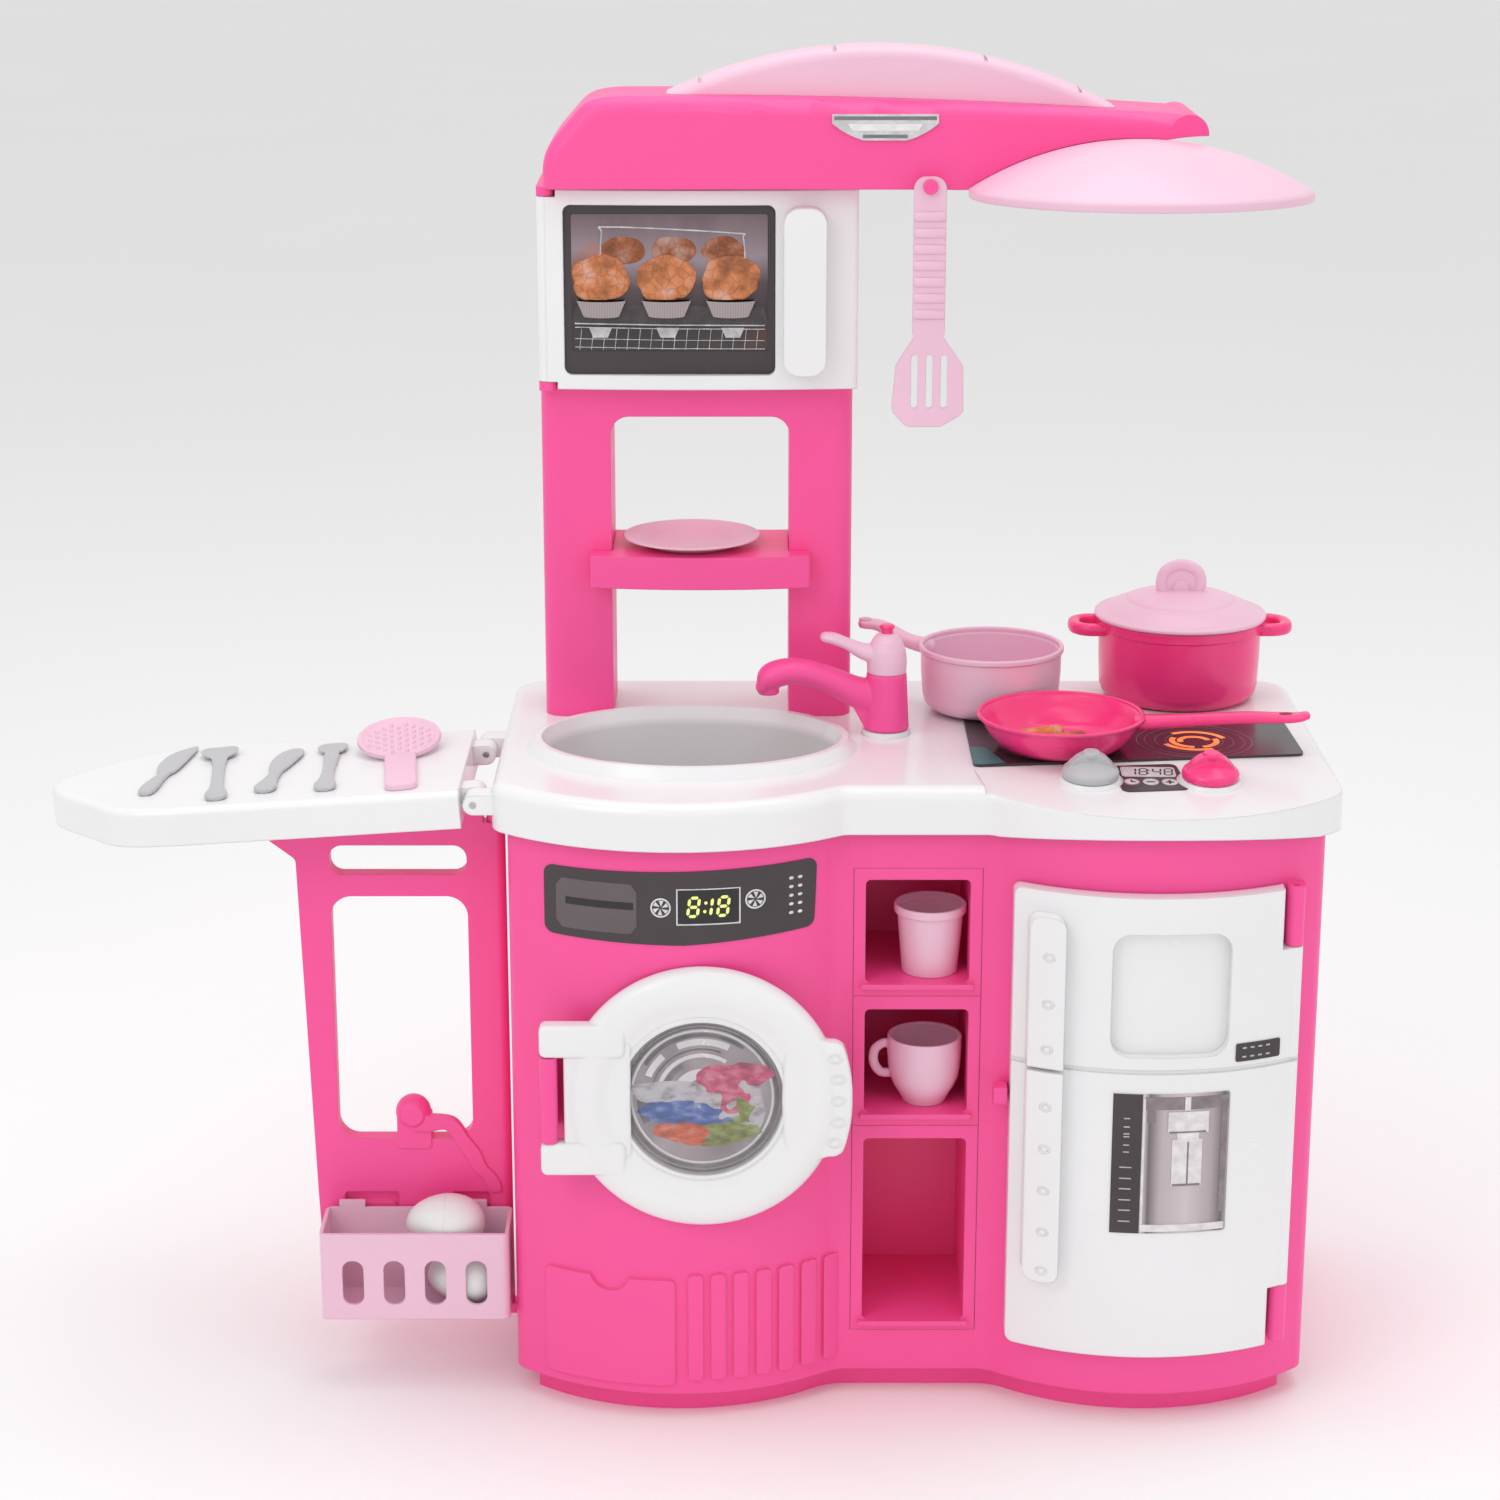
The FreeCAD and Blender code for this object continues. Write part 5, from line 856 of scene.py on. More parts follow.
class KITCHEN_OT_cookware(bpy.types.Operator):
    """Pot with lid, saucepan, and frying pan with sausages"""

    bl_idname = "kitchen.cookware"
    bl_label = "Cookware"

    def execute(self, context):
        wall = sizes().vessel_wall / MM
        self.pot(wall)
        self.lid()
        self.saucepan(wall)
        self.frying_pan(wall)
        return {"FINISHED"}

    @staticmethod
    def pot(wall):
        low, high, x, y = centred("pot")
        radius, tall = (high.y - low.y) / 2, high.z - low.z
        outer = [(0, 0), (radius - 14, 0), (radius - 8, 1.6), (radius - 4.2, 5.5), (radius - 2.6, 11),
                 (radius - 1.6, tall * 0.5), (radius - 1.4, tall - 9), (radius, tall - 8), (radius, tall)]
        shapes = [vessel(outer, wall, x, y, low.z)]
        for side in (-1, 1):
            near, far = x + side * (radius - 3), x + side * (high.x - x - 5.5)
            loop = flow([(near, y - 17, 0), (far - side * 8, y - 16, 0), (far, y - 8, 0), (far, y + 8, 0),
                         (far - side * 8, y + 16, 0), (near, y + 17, 0)], 6)
            line = [(p.x, p.y, high.z - 8) for p in loop]
            shapes.append(tube(line, (5.0, 4.8), 20, square=1.4))
        shell("pot", shapes, deep_pink(), "deep_pink")

    @staticmethod
    def lid():
        low, high, x, y = centred("pot_lid")
        radius, z = (high.y - low.y) / 2, low.z + 5
        top = [(0, z + 20.6), (12, z + 20.4), (28, z + 18.6), (38, z + 15.8), (41.5, z + 14.6), (43, z + 12.8),
               (47, z + 12.0), (54, z + 9.0), (59.5, z + 5.4), (62, z + 4.0), (radius - 1, z + 3.4),
               (radius, z + 2.4), (radius, z + 0.8), (radius - 0.8, z), (radius - 7, z), (radius - 7, z - 4),
               (radius - 9, z - 4), (radius - 9, z + 1.5), (56, z + 4), (40, z + 11), (0, z + 17)]
        arch = flow([(x - 13, y, z + 17), (x - 15.5, y, z + 26), (x - 12, y, z + 36), (x, y, z + 40.5),
                     (x + 12, y, z + 36), (x + 15.5, y, z + 26), (x + 13, y, z + 17)], 6)
        web = pad(ring_line(x, z + 25, 12.5, 13.5), front_place(y, 1), -1.6, 1.6, 0.6)
        roll = pad(ring_line(x, z + 22, 6.5), front_place(y), -3.2, 3.2, 1.0)
        loop = tube(arch, (4.6, 3.6), 20, up=(0, 1, 0))
        shell("pot_lid", [moved(lathe(top), at(x, y, 0)), loop, web, roll], pale_pink(), "light_pink")

    @staticmethod
    def saucepan(wall):
        low, high = box_mm("saucepan")
        radius = SAUCEPAN_RADIUS
        x, y = high.x - radius, low.y + radius
        tall = 51.0
        outer = [(0, 0), (radius - 15, 0), (radius - 9, 1.8), (radius - 5, 6), (radius - 3.4, 12),
                 (radius - 2.0, tall * 0.6), (radius - 1.8, tall - 5), (radius, tall - 4), (radius, tall)]
        spine = [(x - 48, y + 27, low.z + 42), (x - 64, y + 35, low.z + 45), (x - 84, y + 44, low.z + 54),
                 (low.x + 7, high.y - 11, low.z + 56)]
        grip = rod(spine, [(8.0, 6.0), (8.0, 5.0), (9.0, 4.0), (9.2, 3.4)], 6, 24, 1.3)
        eye = flow(spine, 6)[-2]
        hole = moved(lathe([(2.6, 3.2), (3.8, 4.4), (5.2, 4.0), (5.2, 2.4), (2.6, 3.2)], 32), at(*eye))
        shell("saucepan", [vessel(outer, wall, x, y, low.z), grip, hole], pale_pink(), "light_pink")

    @staticmethod
    def frying_pan(wall):
        low, high = box_mm("frying_pan")
        radius = FRYING_PAN_RADIUS
        x, y = low.x + radius, high.y - radius
        tall = 27.0
        outer = [(0, 0), (38, 0), (43, 1.2), (49, 5.5), (54, 12), (57.5, 18), (60, 23.5), (radius, tall - 1.5),
                 (radius, tall)]
        rim = low.z + tall
        spine = [(x + 59, y - 4, rim - 7), (x + 90, y - 6, rim - 5), (x + 135, y - 12, rim - 1),
                 (high.x - 14, y - 19, rim + 1), (high.x - 3, y - 20, rim + 3)]
        handle = rod(spine, [(11, 5.4), (7.6, 4.6), (8.6, 4.0), (9.6, 3.0), (7.0, 2.4)], 6, 24, 1.3)
        shell("frying_pan", [vessel(outer, wall, x, y, low.z), handle], deep_pink(), "deep_pink")
        eye = flow(spine, 6)[-8]
        # Painted shade: a dark pink oval on top of the handle stands in for the shade inside its hanging hole,
        # which is not cut.
        dark = printed("eye_shadow", (0.30, 0.006, 0.05), rough=0.6)
        spot = pad(ring_line(eye.x, eye.y, 5.2, 3.4), top_place(eye.z), 2.0, 3.3, 0.3)
        piece("frying_pan_eye_shade", [spot], dark, "frying_pan")
        food = crust("sausage_skin", (0.80, 0.22, 0.06))
        z = low.z + 9.2
        rolls = []
        for start, end in (((x - 28, y - 4), (x - 2, y + 8)), ((x - 18, y - 18), (x + 14, y - 9))):
            a, b = Vector((*start, z)), Vector((*end, z))
            bow = (b - a).cross(Vector((0, 0, 1))).normalized() * 1.6
            rolls.append(tube(flow([a, (a + b) / 2 + bow, b], 6), (5.8, 5.8)))
        piece("sausage_rolls", rolls, food, "sausages", ["sausages"], "sausage")


class KITCHEN_OT_tableware(bpy.types.Operator):
    """Tumbler, mug and plate"""

    bl_idname = "kitchen.tableware"
    bl_label = "Tableware"

    def execute(self, context):
        low, high, x, y = centred("tumbler")
        r, tall = (high.x - low.x) / 2, high.z - low.z
        outer = [(0, 0.8), (r - 9, 0.8), (r - 8.5, 0), (r - 6.6, 0), (r - 6.2, 1), (r - 2.4, tall - 7),
                 (r - 0.4, tall - 6.4), (r, tall - 5), (r, tall)]
        shell("tumbler", [vessel(outer, CUP_WALL, x, y, low.z)], pale_pink(), "light_pink")
        low, high, x, y = centred("mug")
        r, tall = MUG_RADIUS, high.z - low.z
        x = high.x - r
        outer = [(0, 0.6), (14, 0.6), (14.4, 0), (16, 0), (17, 2.5), (19.4, 7), (23, 13), (25.8, 20),
                 (27.2, 29), (27.9, 40), (r, tall)]
        ear = flow([(x - 24, y, low.z + 21), (x - 33, y, low.z + 22), (x - 38, y, low.z + 30),
                    (x - 37, y, low.z + 40), (x - 30, y, low.z + 45), (x - 25, y, low.z + 43)], 6)
        loop = tube(ear, (3.6, 2.0), 20, up=(0, 1, 0))
        shell("mug", [vessel(outer, CUP_WALL, x, y, low.z), loop], pale_pink(), "light_pink")
        low, high, x, y = centred("plate")
        r = (high.x - low.x) / 2
        profile = [(0, 0), (33, 0), (34.5, 0.4), (38.5, 3), (r - 1, 6.6), (r, 7.4), (r - 0.6, 8.3),
                   (r - 2, 8.4), (38, 4.9), (35.5, 3.9), (33, 2.4), (31, 1.9), (0, 1.9)]
        shell("plate", [moved(lathe(profile), at(x, y, low.z))], pale_pink(), "light_pink")
        return {"FINISHED"}


def board_matrix(x, y, angle):
    """Where a utensil lies on the drooping ironing board."""
    joint = JOINTS["board_lift"]
    hinge = Vector(joint["pos_m"]) / MM
    droop = math.asin(JOINTS["knife_lift"]["axis"][0])
    turn = at(*hinge) @ Matrix.Rotation(droop, 4, "Y") @ at(*-hinge)
    return turn @ at(x, y, BOARD_FACE_Z) @ Matrix.Rotation(math.radians(angle), 4, "Z")


def utensil(stations, matrix, sides=32):
    """A flat utensil from stations of (along, offset, half width, thickness, dish, lift)."""
    rings = []
    for along, offset, half, thick, dish, lift in flow_rows(stations, 5):
        ring = []
        for k in range(sides):
            c, s = math.cos(TURN * k / sides), math.sin(TURN * k / sides)
            side = math.copysign(abs(c) ** 0.75, c)
            up = math.copysign(abs(s) ** 0.6, s)
            ring.append((offset + half * side, along, lift + dish * side * side + thick / 2 * (1 + up)))
        rings.append(ring)
    return moved(loft(rings), matrix)


def flow_rows(rows, steps):
    """Smoothly fills in between rows of any number of values."""
    halves = [flow([row[k:k + 3] for row in rows], steps) for k in range(0, len(rows[0]), 3)]
    return [tuple(v for part in parts for v in part) for parts in zip(*halves)]


def bowl(centre, half, length, dish, lift=0.0):
    """Stations of a spoon's bowl: an oval, hollowed by dish, about a point along the utensil."""
    return [(centre + length * math.sin(a), 0, max(0.8, half * math.cos(a)), 2.6, dish * math.cos(a), lift)
            for a in (math.radians(d) for d in (-62, -45, -25, 0, 25, 45, 62, 76, 86))]


HAFT = [(0.5, 0, 2.5, 2.4, 0, 0), (2.5, 0, 6.6, 4, 0, 0), (8, 0, 8.4, 4.6, 0, 0), (15, 0, 7.8, 4.6, 0, 0),
        (26, 0, 5.6, 4.2, 0, 0), (48, 0, 4.6, 3.8, 0, 0)]
CUTLERY = {
    "knife": ((-570, -80, -6.5), [(0.5, 0, 2, 2, 0, 0), (3, 0, 5.4, 4, 0, 0), (16, 0, 6.6, 4.6, 0, 0),
                                  (34, 0.5, 5.0, 4.4, 0, 0), (50, 1.2, 4.4, 3.6, 0, 0),
                                  (56, 1.0, 7.0, 3.2, 0, 0.3), (72, 0, 9.6, 3.0, 0, 0.6),
                                  (96, 0.5, 9.4, 2.8, 0, 0.6), (110, 3.0, 6.8, 2.4, 0, 0.6),
                                  (120, 6.2, 2.4, 2.0, 0, 0.6), (122, 7.0, 0.6, 1.4, 0, 0.7)]),
    "spoon": ((-513, -104, 7), HAFT + [(88, 0, 4.8, 3.6, 0, 0), (98, 0, 5.6, 3.2, 0.4, 0)]
              + bowl(122, 14.6, 15.4, 3.0)),
    "spreader": ((-480, -92, -4), HAFT + [(60, -0.5, 7.4, 3.2, 0, 0.3), (78, 0.4, 9.6, 3.0, 0, 0.6),
                                          (96, 2.4, 9.4, 2.6, 0, 0.6), (106, 3.6, 6.0, 2.2, 0, 0.6),
                                          (110, 4.2, 1.4, 1.6, 0, 0.7)]),
    "teaspoon": ((-434, -97, 3.2), HAFT + [(76, 0, 5.4, 3.8, 0, 0), (86, 0, 6.0, 3.4, 0.2, 0)]
                 + bowl(108, 11.8, 13.4, 2.0)),
}


class KITCHEN_OT_cutlery(bpy.types.Operator):
    """Knife, spoons, spreader and skimmer on the ironing board"""

    bl_idname = "kitchen.cutlery"
    bl_label = "Cutlery"

    def execute(self, context):
        for name, (spot, stations) in CUTLERY.items():
            matrix = board_matrix(*spot)
            shapes = [utensil(stations, matrix)]
            if name != "knife":
                dent = lathe([(3.4, 4.0), (4.2, 4.7), (5.2, 4.6), (5.6, 3.6), (3.4, 4.0)], 32)
                shapes.append(moved(dent, matrix @ at(0, 12, -0.2) @ Matrix.Diagonal((1, 1.5, 1, 1))))
            shell(name, shapes, grey(), "grey", rounds=1)
        self.skimmer()
        return {"FINISHED"}

    @staticmethod
    def skimmer():
        spot = board_matrix(-388, 4, 6)
        tilt = at(0, -32, 0) @ Matrix.Rotation(math.radians(12), 4, "X") @ at(0, 32, 0)
        disc = lathe([(0, 0.2), (29, 0.2), (31.4, 0.9), (32, 2.4), (31.6, 4.4), (30.2, 5.0), (28.6, 4.6),
                      (27.4, 3.4), (24, 2.8), (0, 2.6)])
        shapes = [moved(disc, spot @ tilt)]
        grain = lathe([(0, 1.1), (0.7, 0.95), (1.05, 0.4), (1.1, -0.4)], 12)
        for column in range(-4, 5):
            for row in range(-3, 4):
                x, y = column * 5.6, row * 8.4 + (4.2 if column % 2 else 0)
                if x * x + y * y < 24.0 ** 2:
                    lean = Matrix.Rotation(math.radians(-column * 7), 4, "Z")
                    place = spot @ tilt @ at(x, y, 2.7) @ lean @ Matrix.Diagonal((1.2, 2.5, 1.2, 1))
                    shapes.append(moved(grain, place))
        shapes.append(moved(pad(round_box(-12, 12, -110, -24, 8), top_place(0), 0, 5, 1.6), spot))
        for y in (-84, -72, -60, -48):
            ridge = tube([(-10, y, 4.4), (0, y, 4.8), (10, y, 4.4)], (2.2, 1.0), 12)
            shapes.append(moved(ridge, spot))
        shell("skimmer", shapes, pale_pink(), "light_pink")


class KITCHEN_OT_eggs(bpy.types.Operator):
    """The two toy eggs in the basket"""

    bl_idname = "kitchen.eggs"
    bl_label = "Eggs"

    def execute(self, context):
        f = Finish("egg_shell")
        shade = tuple(colours().egg)
        cloud = f.noise(14.0, 4.0)
        pores = f.noise(700.0, 2.0)
        tone = f.mix(tinted(shade, 0.95), tinted(shade, 1.05), cloud)
        bump = f.node("ShaderNodeBump", {}, {"Strength": 0.15, "Distance": 0.0006, "Height": pores + cloud})
        finish = f.close(Base_Color=tone, Roughness=0.5 + cloud * 0.15, Normal=bump)
        for name in ("egg_1", "egg_2"):
            low, high = box_mm(name)
            middle, half, girth = (low + high) / 2, (high.x - low.x) / 2, (high.z - low.z) / 2
            profile = []
            for k in range(33):
                a = math.pi * k / 32
                profile.append((girth * math.sin(a) * (1 + 0.10 * math.cos(a)) / 1.006, -half * math.cos(a)))
            profile[0], profile[-1] = (0, -half), (0, half)
            seam = lathe([(girth * 1.0, -0.3), (girth * 1.006, 0), (girth * 1.0, 0.3)], 64)
            turn = at(*middle) @ Matrix.Rotation(-math.pi / 2, 4, "Y")
            shell(name, [moved(lathe(profile, 64), turn), moved(seam, turn)], finish, "egg_white")
        return {"FINISHED"}


class KITCHEN_OT_washer(bpy.types.Operator):
    """Washer door with its ring, dome and laundry"""

    bl_idname = "kitchen.washer"
    bl_label = "Washer door"

    def execute(self, context):
        glass_low, glass_high = box_mm("washer_window")
        x, z = (glass_low.x + glass_high.x) / 2, (glass_low.z + glass_high.z) / 2
        back = box_mm("washer_door")[1].y
        out = at(x, back, z) @ FACING
        ring = lathe([(p.x, p.y) for p in flow([
            (59.4, 0.3), (59.0, 3.0), (60.0, 6.6), (64, 7.4), (70, 9.2), (77, 11.8), (84, 12.9), (91, 12.4),
            (97, 9.6), (100.2, 5.4), (101, 1.2)], 4)] + [(100.6, 0.1), (59.4, 0.1), (59.4, 0.3)], 160)
        lip = lathe([(59.4, 6.2), (60.2, 8.4), (62.2, 8.9), (63.8, 7.6), (63, 6)], 160)
        shapes = [moved(ring, out), moved(lip, out)]
        face = front_place(back)
        flap = [(62, -45), (92, -45), (100, -43.5), (104.5, -38), (109, -18), (110, 0), (109, 18), (104.5, 38),
                (100, 43.5), (92, 45), (62, 45)]
        flap = [(x + p.x, z + p.y) for p in flow([(u, v, 0) for u, v in flap], 4, closed=True)]
        shapes.append(pad(flap, face, 0.2, 10.6, 3.5))
        for dz in (-33, -17, 0, 17, 33):
            dish = lathe([(2.2, 9.9), (3.1, 10.7), (4.4, 11.4), (5.3, 11.0), (5.6, 10.0)], 32)
            spot = at(x + 97 + (2.4 if abs(dz) < 20 else 0), back, z + dz)
            shapes.append(moved(dish, spot @ FACING @ Matrix.Diagonal((1, 0.72, 1, 1))))
        hinge = JOINTS["washer_door_hinge"]["pos_m"][0] / MM
        for side in (-1, 1):
            middle = z + side * 46
            arm = round_box(hinge - 6.4, hinge + 56, middle - 12.5, middle + 12.5, 5.0)
            shapes.append(pad(arm, face, 0.3, 12.6, 3.0))
        web = round_box(hinge + 11, hinge + 60, z - 45, z + 45, 3.5)
        shapes.append(pad(web, face, 4.5, 9.8, 2.0))
        piece("washer_door_ring", shapes, white(), "washer_door", ["washer_door"], "white")
        finish_nodes(clear(), "washer_window")
        drum = printed("drum_metal", (0.26, 0.21, 0.24), (0.56, 0.50, 0.54), rough=0.25, metal=0.2,
                       scale=24.0)
        finish_nodes(drum, "washer_picture")
        front = box_mm("washer_picture")[0].y
        self.drum_rings(x, front, z)
        heap = (("laundry_white", (0.70, 0.66, 0.70),
                 [(-22, 4, 30, 9), (14, -6, 26, 12), (34, -6, 12, 22)], 1.4),
                ("laundry_pink", (0.80, 0.07, 0.22),
                 [(16, 12, 20, 14), (34, 18, 16, 9), (22, -2, 17, 12)], 3.1),
                ("laundry_blue", (0.05, 0.15, 0.55), [(-22, -11, 22, 10), (2, -14, 21, 10)], 5.0),
                ("laundry_green", (0.30, 0.36, 0.04),
                 [(30, -10, 12, 14), (20, -26, 22, 9), (8, -32, 14, 7)], 6.2),
                ("laundry_orange", (0.90, 0.14, 0.02), [(-16, -26, 20, 8), (-4, -31, 14, 8)], 7.7))
        for order, (name, colour, spots, seed) in enumerate(heap):
            lumps = [lump(x + dx, z + dz, rx, rz, front - 0.02, 2.2 + order * 0.35 + k * 0.3, seed + k, 0.7,
                          spread=0.35)
                     for k, (dx, dz, rx, rz) in enumerate(spots)]
            label(name, lumps, cloth(name, colour), "washer_door")
        return {"FINISHED"}

    @staticmethod
    def drum_rings(x, front, z):
        """Dark and bright rings that show the drum behind the laundry, as (outer, inner, start, end)."""
        dark = printed("drum_dark", (0.07, 0.05, 0.06), (0.22, 0.18, 0.20), rough=0.3, metal=0.2, scale=60.0)
        pale = printed("drum_pale", (0.80, 0.78, 0.79), (0.95, 0.95, 0.95), rough=0.25, metal=0.2, scale=50.0)
        for name, finish, rows in (
                ("drum_shadow", dark, ((56.5, 53.5, 0, TURN), (50, 47, 0.9, 2.6), (38, 36.6, 1.2, 3.4),
                                       (30, 26, 2.1, 3.0), (48, 42, 3.1, 3.6))),
                ("drum_shine", pale, ((52.6, 51, 0, TURN), (45.5, 40.5, 1.1, 2.0), (45, 40, 2.3, 2.75),
                                      (34, 31, 1.0, 2.9), (22, 14, 1.2, 2.6)))):
            shapes = [part for outer, inner, start, end in rows
                      for part in arc(x, z, inner, outer, start, end, front_place(front), 0.15, 48)]
            label(name, shapes, finish, "washer_door")


def dark_print():
    return printed("dark_print", (0.044, 0.033, 0.038), (0.060, 0.046, 0.052), rough=0.32, scale=8.0)


def pale_ink():
    return printed("pale_ink", (0.55, 0.52, 0.54), rough=0.4)


def foil():
    return printed("foil", (0.62, 0.60, 0.61), (0.85, 0.84, 0.85), rough=0.22, metal=0.9)


DIGITS = {"1": "bc", "4": "bcfg", "8": "abcdefg"}


def digit(char, x, y, width, height, thick, slant=0.0):
    """The seven-segment bars of one digit, as outlines."""
    half = thick / 2
    bars = {"a": (0, 1, 1, 1), "b": (1, 1, 1, 0.5), "c": (1, 0.5, 1, 0), "d": (0, 0, 1, 0), "e": (0, 0, 0, 0.5),
            "f": (0, 0.5, 0, 1), "g": (0, 0.5, 1, 0.5)}
    outlines = []
    for key in DIGITS[char]:
        u0, v0, u1, v1 = bars[key]
        a = Vector((x + u0 * width, y + v0 * height))
        b = Vector((x + u1 * width, y + v1 * height))
        along = (b - a).normalized()
        side = Vector((-along.y, along.x)) * half
        a, b = a + along * half * 0.6, b - along * half * 0.6
        outline = [a, a + along * half + side, b - along * half + side, b, b - along * half - side,
                   a + along * half - side]
        outlines.append([(p.x + slant * (p.y - y), p.y) for p in outline])
    return outlines


class KITCHEN_OT_controls(bpy.types.Operator):
    """Washer panel, timer and hob prints"""

    bl_idname = "kitchen.controls"
    bl_label = "Controls"

    def execute(self, context):
        high = sizes().print_height / MM
        place = bulge_place(-1, LABEL_FACE)
        finish_nodes(dark_print(), "control_label")
        self.panel_fields(place, high)
        self.panel_foil(place, high)
        self.panel_digits(place, high)
        self.timer()
        self.hob()
        return {"FINISHED"}

    @staticmethod
    def panel_fields(place, high):
        """The drawer's pocket with its slot, and the black field of the display."""

        def strips(left, right, bottom, top, radius, parts=14):
            """A wide rounded rectangle in upright strips, so that it follows the curve."""

            def cut_in(u):
                near = min(u - left, right - u)
                if near >= radius:
                    return 0
                return radius - math.sqrt(max(0, radius ** 2 - (radius - near) ** 2))

            shapes = []
            for k in range(parts):
                a, b = (left + (right - left) * (k + i) / parts for i in (0, 1))
                strip = [(a, bottom + cut_in(a)), (b, bottom + cut_in(b)), (b, top - cut_in(b)),
                         (a, top - cut_in(a))]
                shapes.append(pad(strip, place, -0.1, high))
            return shapes

        lighter = printed("panel_light", (0.115, 0.090, 0.10), (0.14, 0.11, 0.12), rough=0.3, scale=12.0)
        label("panel_pocket", strips(-263, -204, 386, 424, 6), lighter, "cabinet")
        black = printed("panel_black", (0.016, 0.013, 0.014), rough=0.25)
        slot_bars = [pad(rect(-256 + 6.2 * k, -249.8 + 6.2 * k, 404.5, 410), place, 0.1, high + 0.15)
                     for k in range(8)]
        label("panel_slot", slot_bars + strips(-174, -130, 395, 420, 1), black, "cabinet")

    @staticmethod
    def panel_foil(place, high):
        """Two fan wheels, the frame of the display and a block of dots."""
        shapes = []
        for cx, cz in ((-186.5, 407.0), (-118.0, 411.0)):
            shapes.append(band(ring_line(cx, cz, 7.4), ring_line(cx, cz, 6.2), place, -0.05, high + 0.2))
            for k in range(6):
                a = TURN * k / 6 + 0.2
                blade = [(cx + r * math.cos(a + t), cz + r * math.sin(a + t))
                         for r, t in ((0.8, 0.0), (5.8, -0.05), (5.8, 0.55), (3.0, 0.45))]
                shapes.append(pad(blade, place, -0.05, high + 0.2))
        edges = [rect(-175 + 5.75 * k, -169.25 + 5.75 * k, bottom, top)
                 for bottom, top in ((393.6, 394.6), (420.4, 421.2)) for k in range(8)]
        edges += [rect(left, left + 1, 393.6, 421.2) for left in (-175.2, -129.8)]
        shapes += [pad(edge, place, -0.1, high) for edge in edges]
        shapes += [pad(ring_line(-92 + column * 6.4, 397 + row * 6.6, 1.7, 1.2, 14), place, -0.05, high)
                   for column in (0, 1) for row in range(5)]
        label("panel_foil", shapes, foil(), "cabinet")

    @staticmethod
    def panel_digits(place, high):
        # The digits are print; their glow is painted light.
        lit = printed("lit_digits", (0.72, 0.80, 0.22), rough=0.5, glow=0.5)
        bars = [o for char, left, width in (("8", -167, 7), ("1", -155.5, 5), ("8", -145.5, 7))
                for o in digit(char, left, 400.5, width, 14, 2.2, 0.12)]
        bars += [ring_line(-154.6, 404, 1.2, count=12), ring_line(-153.8, 410.5, 1.2, count=12)]
        label("panel_digits", [pad(o, place, 0.1, high + 0.3) for o in bars], lit, "cabinet")

    @staticmethod
    def timer():
        finish_nodes(dark_print(), "timer_label")
        spot = slope_matrix(*TIMER_SPOT)
        face = top_place(LABEL_FACE)
        screen = printed("screen", (0.60, 0.58, 0.60), (0.68, 0.66, 0.68), rough=0.25)
        ink = printed("screen_ink", (0.03, 0.028, 0.03), rough=0.4)
        buttons = [(-14 + 14 * k, -9) for k in range(3)]

        def lay(outlines, low, high):
            return [moved(pad(outline, face, low, high), spot) for outline in outlines]

        label("timer_screen", lay([round_box(-20, 20, 1, 20, 3)], -0.1, 0.25), screen, "cabinet")
        rings = [band(ring_line(*c, 6.0, 6.4), ring_line(*c, 4.9, 5.3), face, -0.1, 0.3) for c in buttons]
        label("timer_buttons", [moved(ring, spot) for ring in rings], foil(), "cabinet")
        discs = [ring_line(*c, 4.9, 5.3) for c in buttons]
        label("timer_discs", lay(discs, -0.1, 0.12), screen, "cabinet")
        bars = [o for char, left in (("1", -15.5), ("8", -6.9), ("4", 3.0), ("8", 11.6))
                for o in digit(char, left, 4.5, 5.6, 12, 1.3, 0.1)]
        bars += [ring_line(0.2, 8, 0.7, count=10), ring_line(0.6, 13, 0.7, count=10)]
        bars += [round_box(*sides) for sides in (
            (-3.2, 3.2, -9.8, -8.2, 0.7), (10.8, 17.2, -9.8, -8.2, 0.7), (13.2, 14.8, -12.4, -5.6, 0.7),
            (-14.6, -13.4, -9.6, -5.6, 0.5), (-14.4, -11.0, -9.8, -8.6, 0.5))]
        label("timer_ink", lay(bars, 0, 0.4), ink, "cabinet")

    @staticmethod
    def hob():
        low, high = box_mm("hob_panel")
        glass = printed("hob_glass", (0.030, 0.024, 0.025), (0.050, 0.042, 0.044), rough=0.18, scale=9.0)
        finish_nodes(glass, "hob_panel")
        place = top_place(high.z)
        pale = printed("hob_ring", (0.16, 0.14, 0.145), rough=0.3)
        shapes = []
        for cx, cy in ((110, -24), RED_HOB, (66, 40)):
            for radius, width in ((44, 1.0), (38, 0.7), (30, 0.7), (22, 0.7)):
                if cx + radius < high.x - 2 and cy + radius < high.y - 2 and cx - radius > low.x + 2:
                    outer, inner = (ring_line(cx, cy, r, count=72) for r in (radius, radius - width))
                    shapes.append(band(outer, inner, place, -0.05, 0.12))
        label("hob_rings", shapes, pale, "cabinet")
        # The embers are print; their glow is painted light.
        ember = printed("hob_ember", (1.0, 0.22, 0.05), (0.9, 0.4, 0.15), rough=0.4, glow=0.5, scale=160.0)
        rows = ((24, 0.3, 2.2), (17, 2.6, 4.6), (24, 3.5, 5.2), (11, 0.2, 3.4), (17, 5.0, 6.6))
        shapes = [part for radius, start, end in rows
                  for part in arc(*RED_HOB, radius - 2.4, radius + 2.0, start, end, place, 0.2, 24)]
        label("hob_embers", shapes, ember, "cabinet")
        teal = printed("hob_teal", (0.010, 0.16, 0.15), (0.02, 0.24, 0.22), rough=0.3)
        corner = [(low.x + 0.6, low.y + 1.0), (low.x + 24, low.y + 4.0), (low.x + 12, low.y + 46),
                  (low.x + 0.6, low.y + 48)]
        label("hob_corner", [pad(corner, place, -0.05, 0.12)], teal, "cabinet")


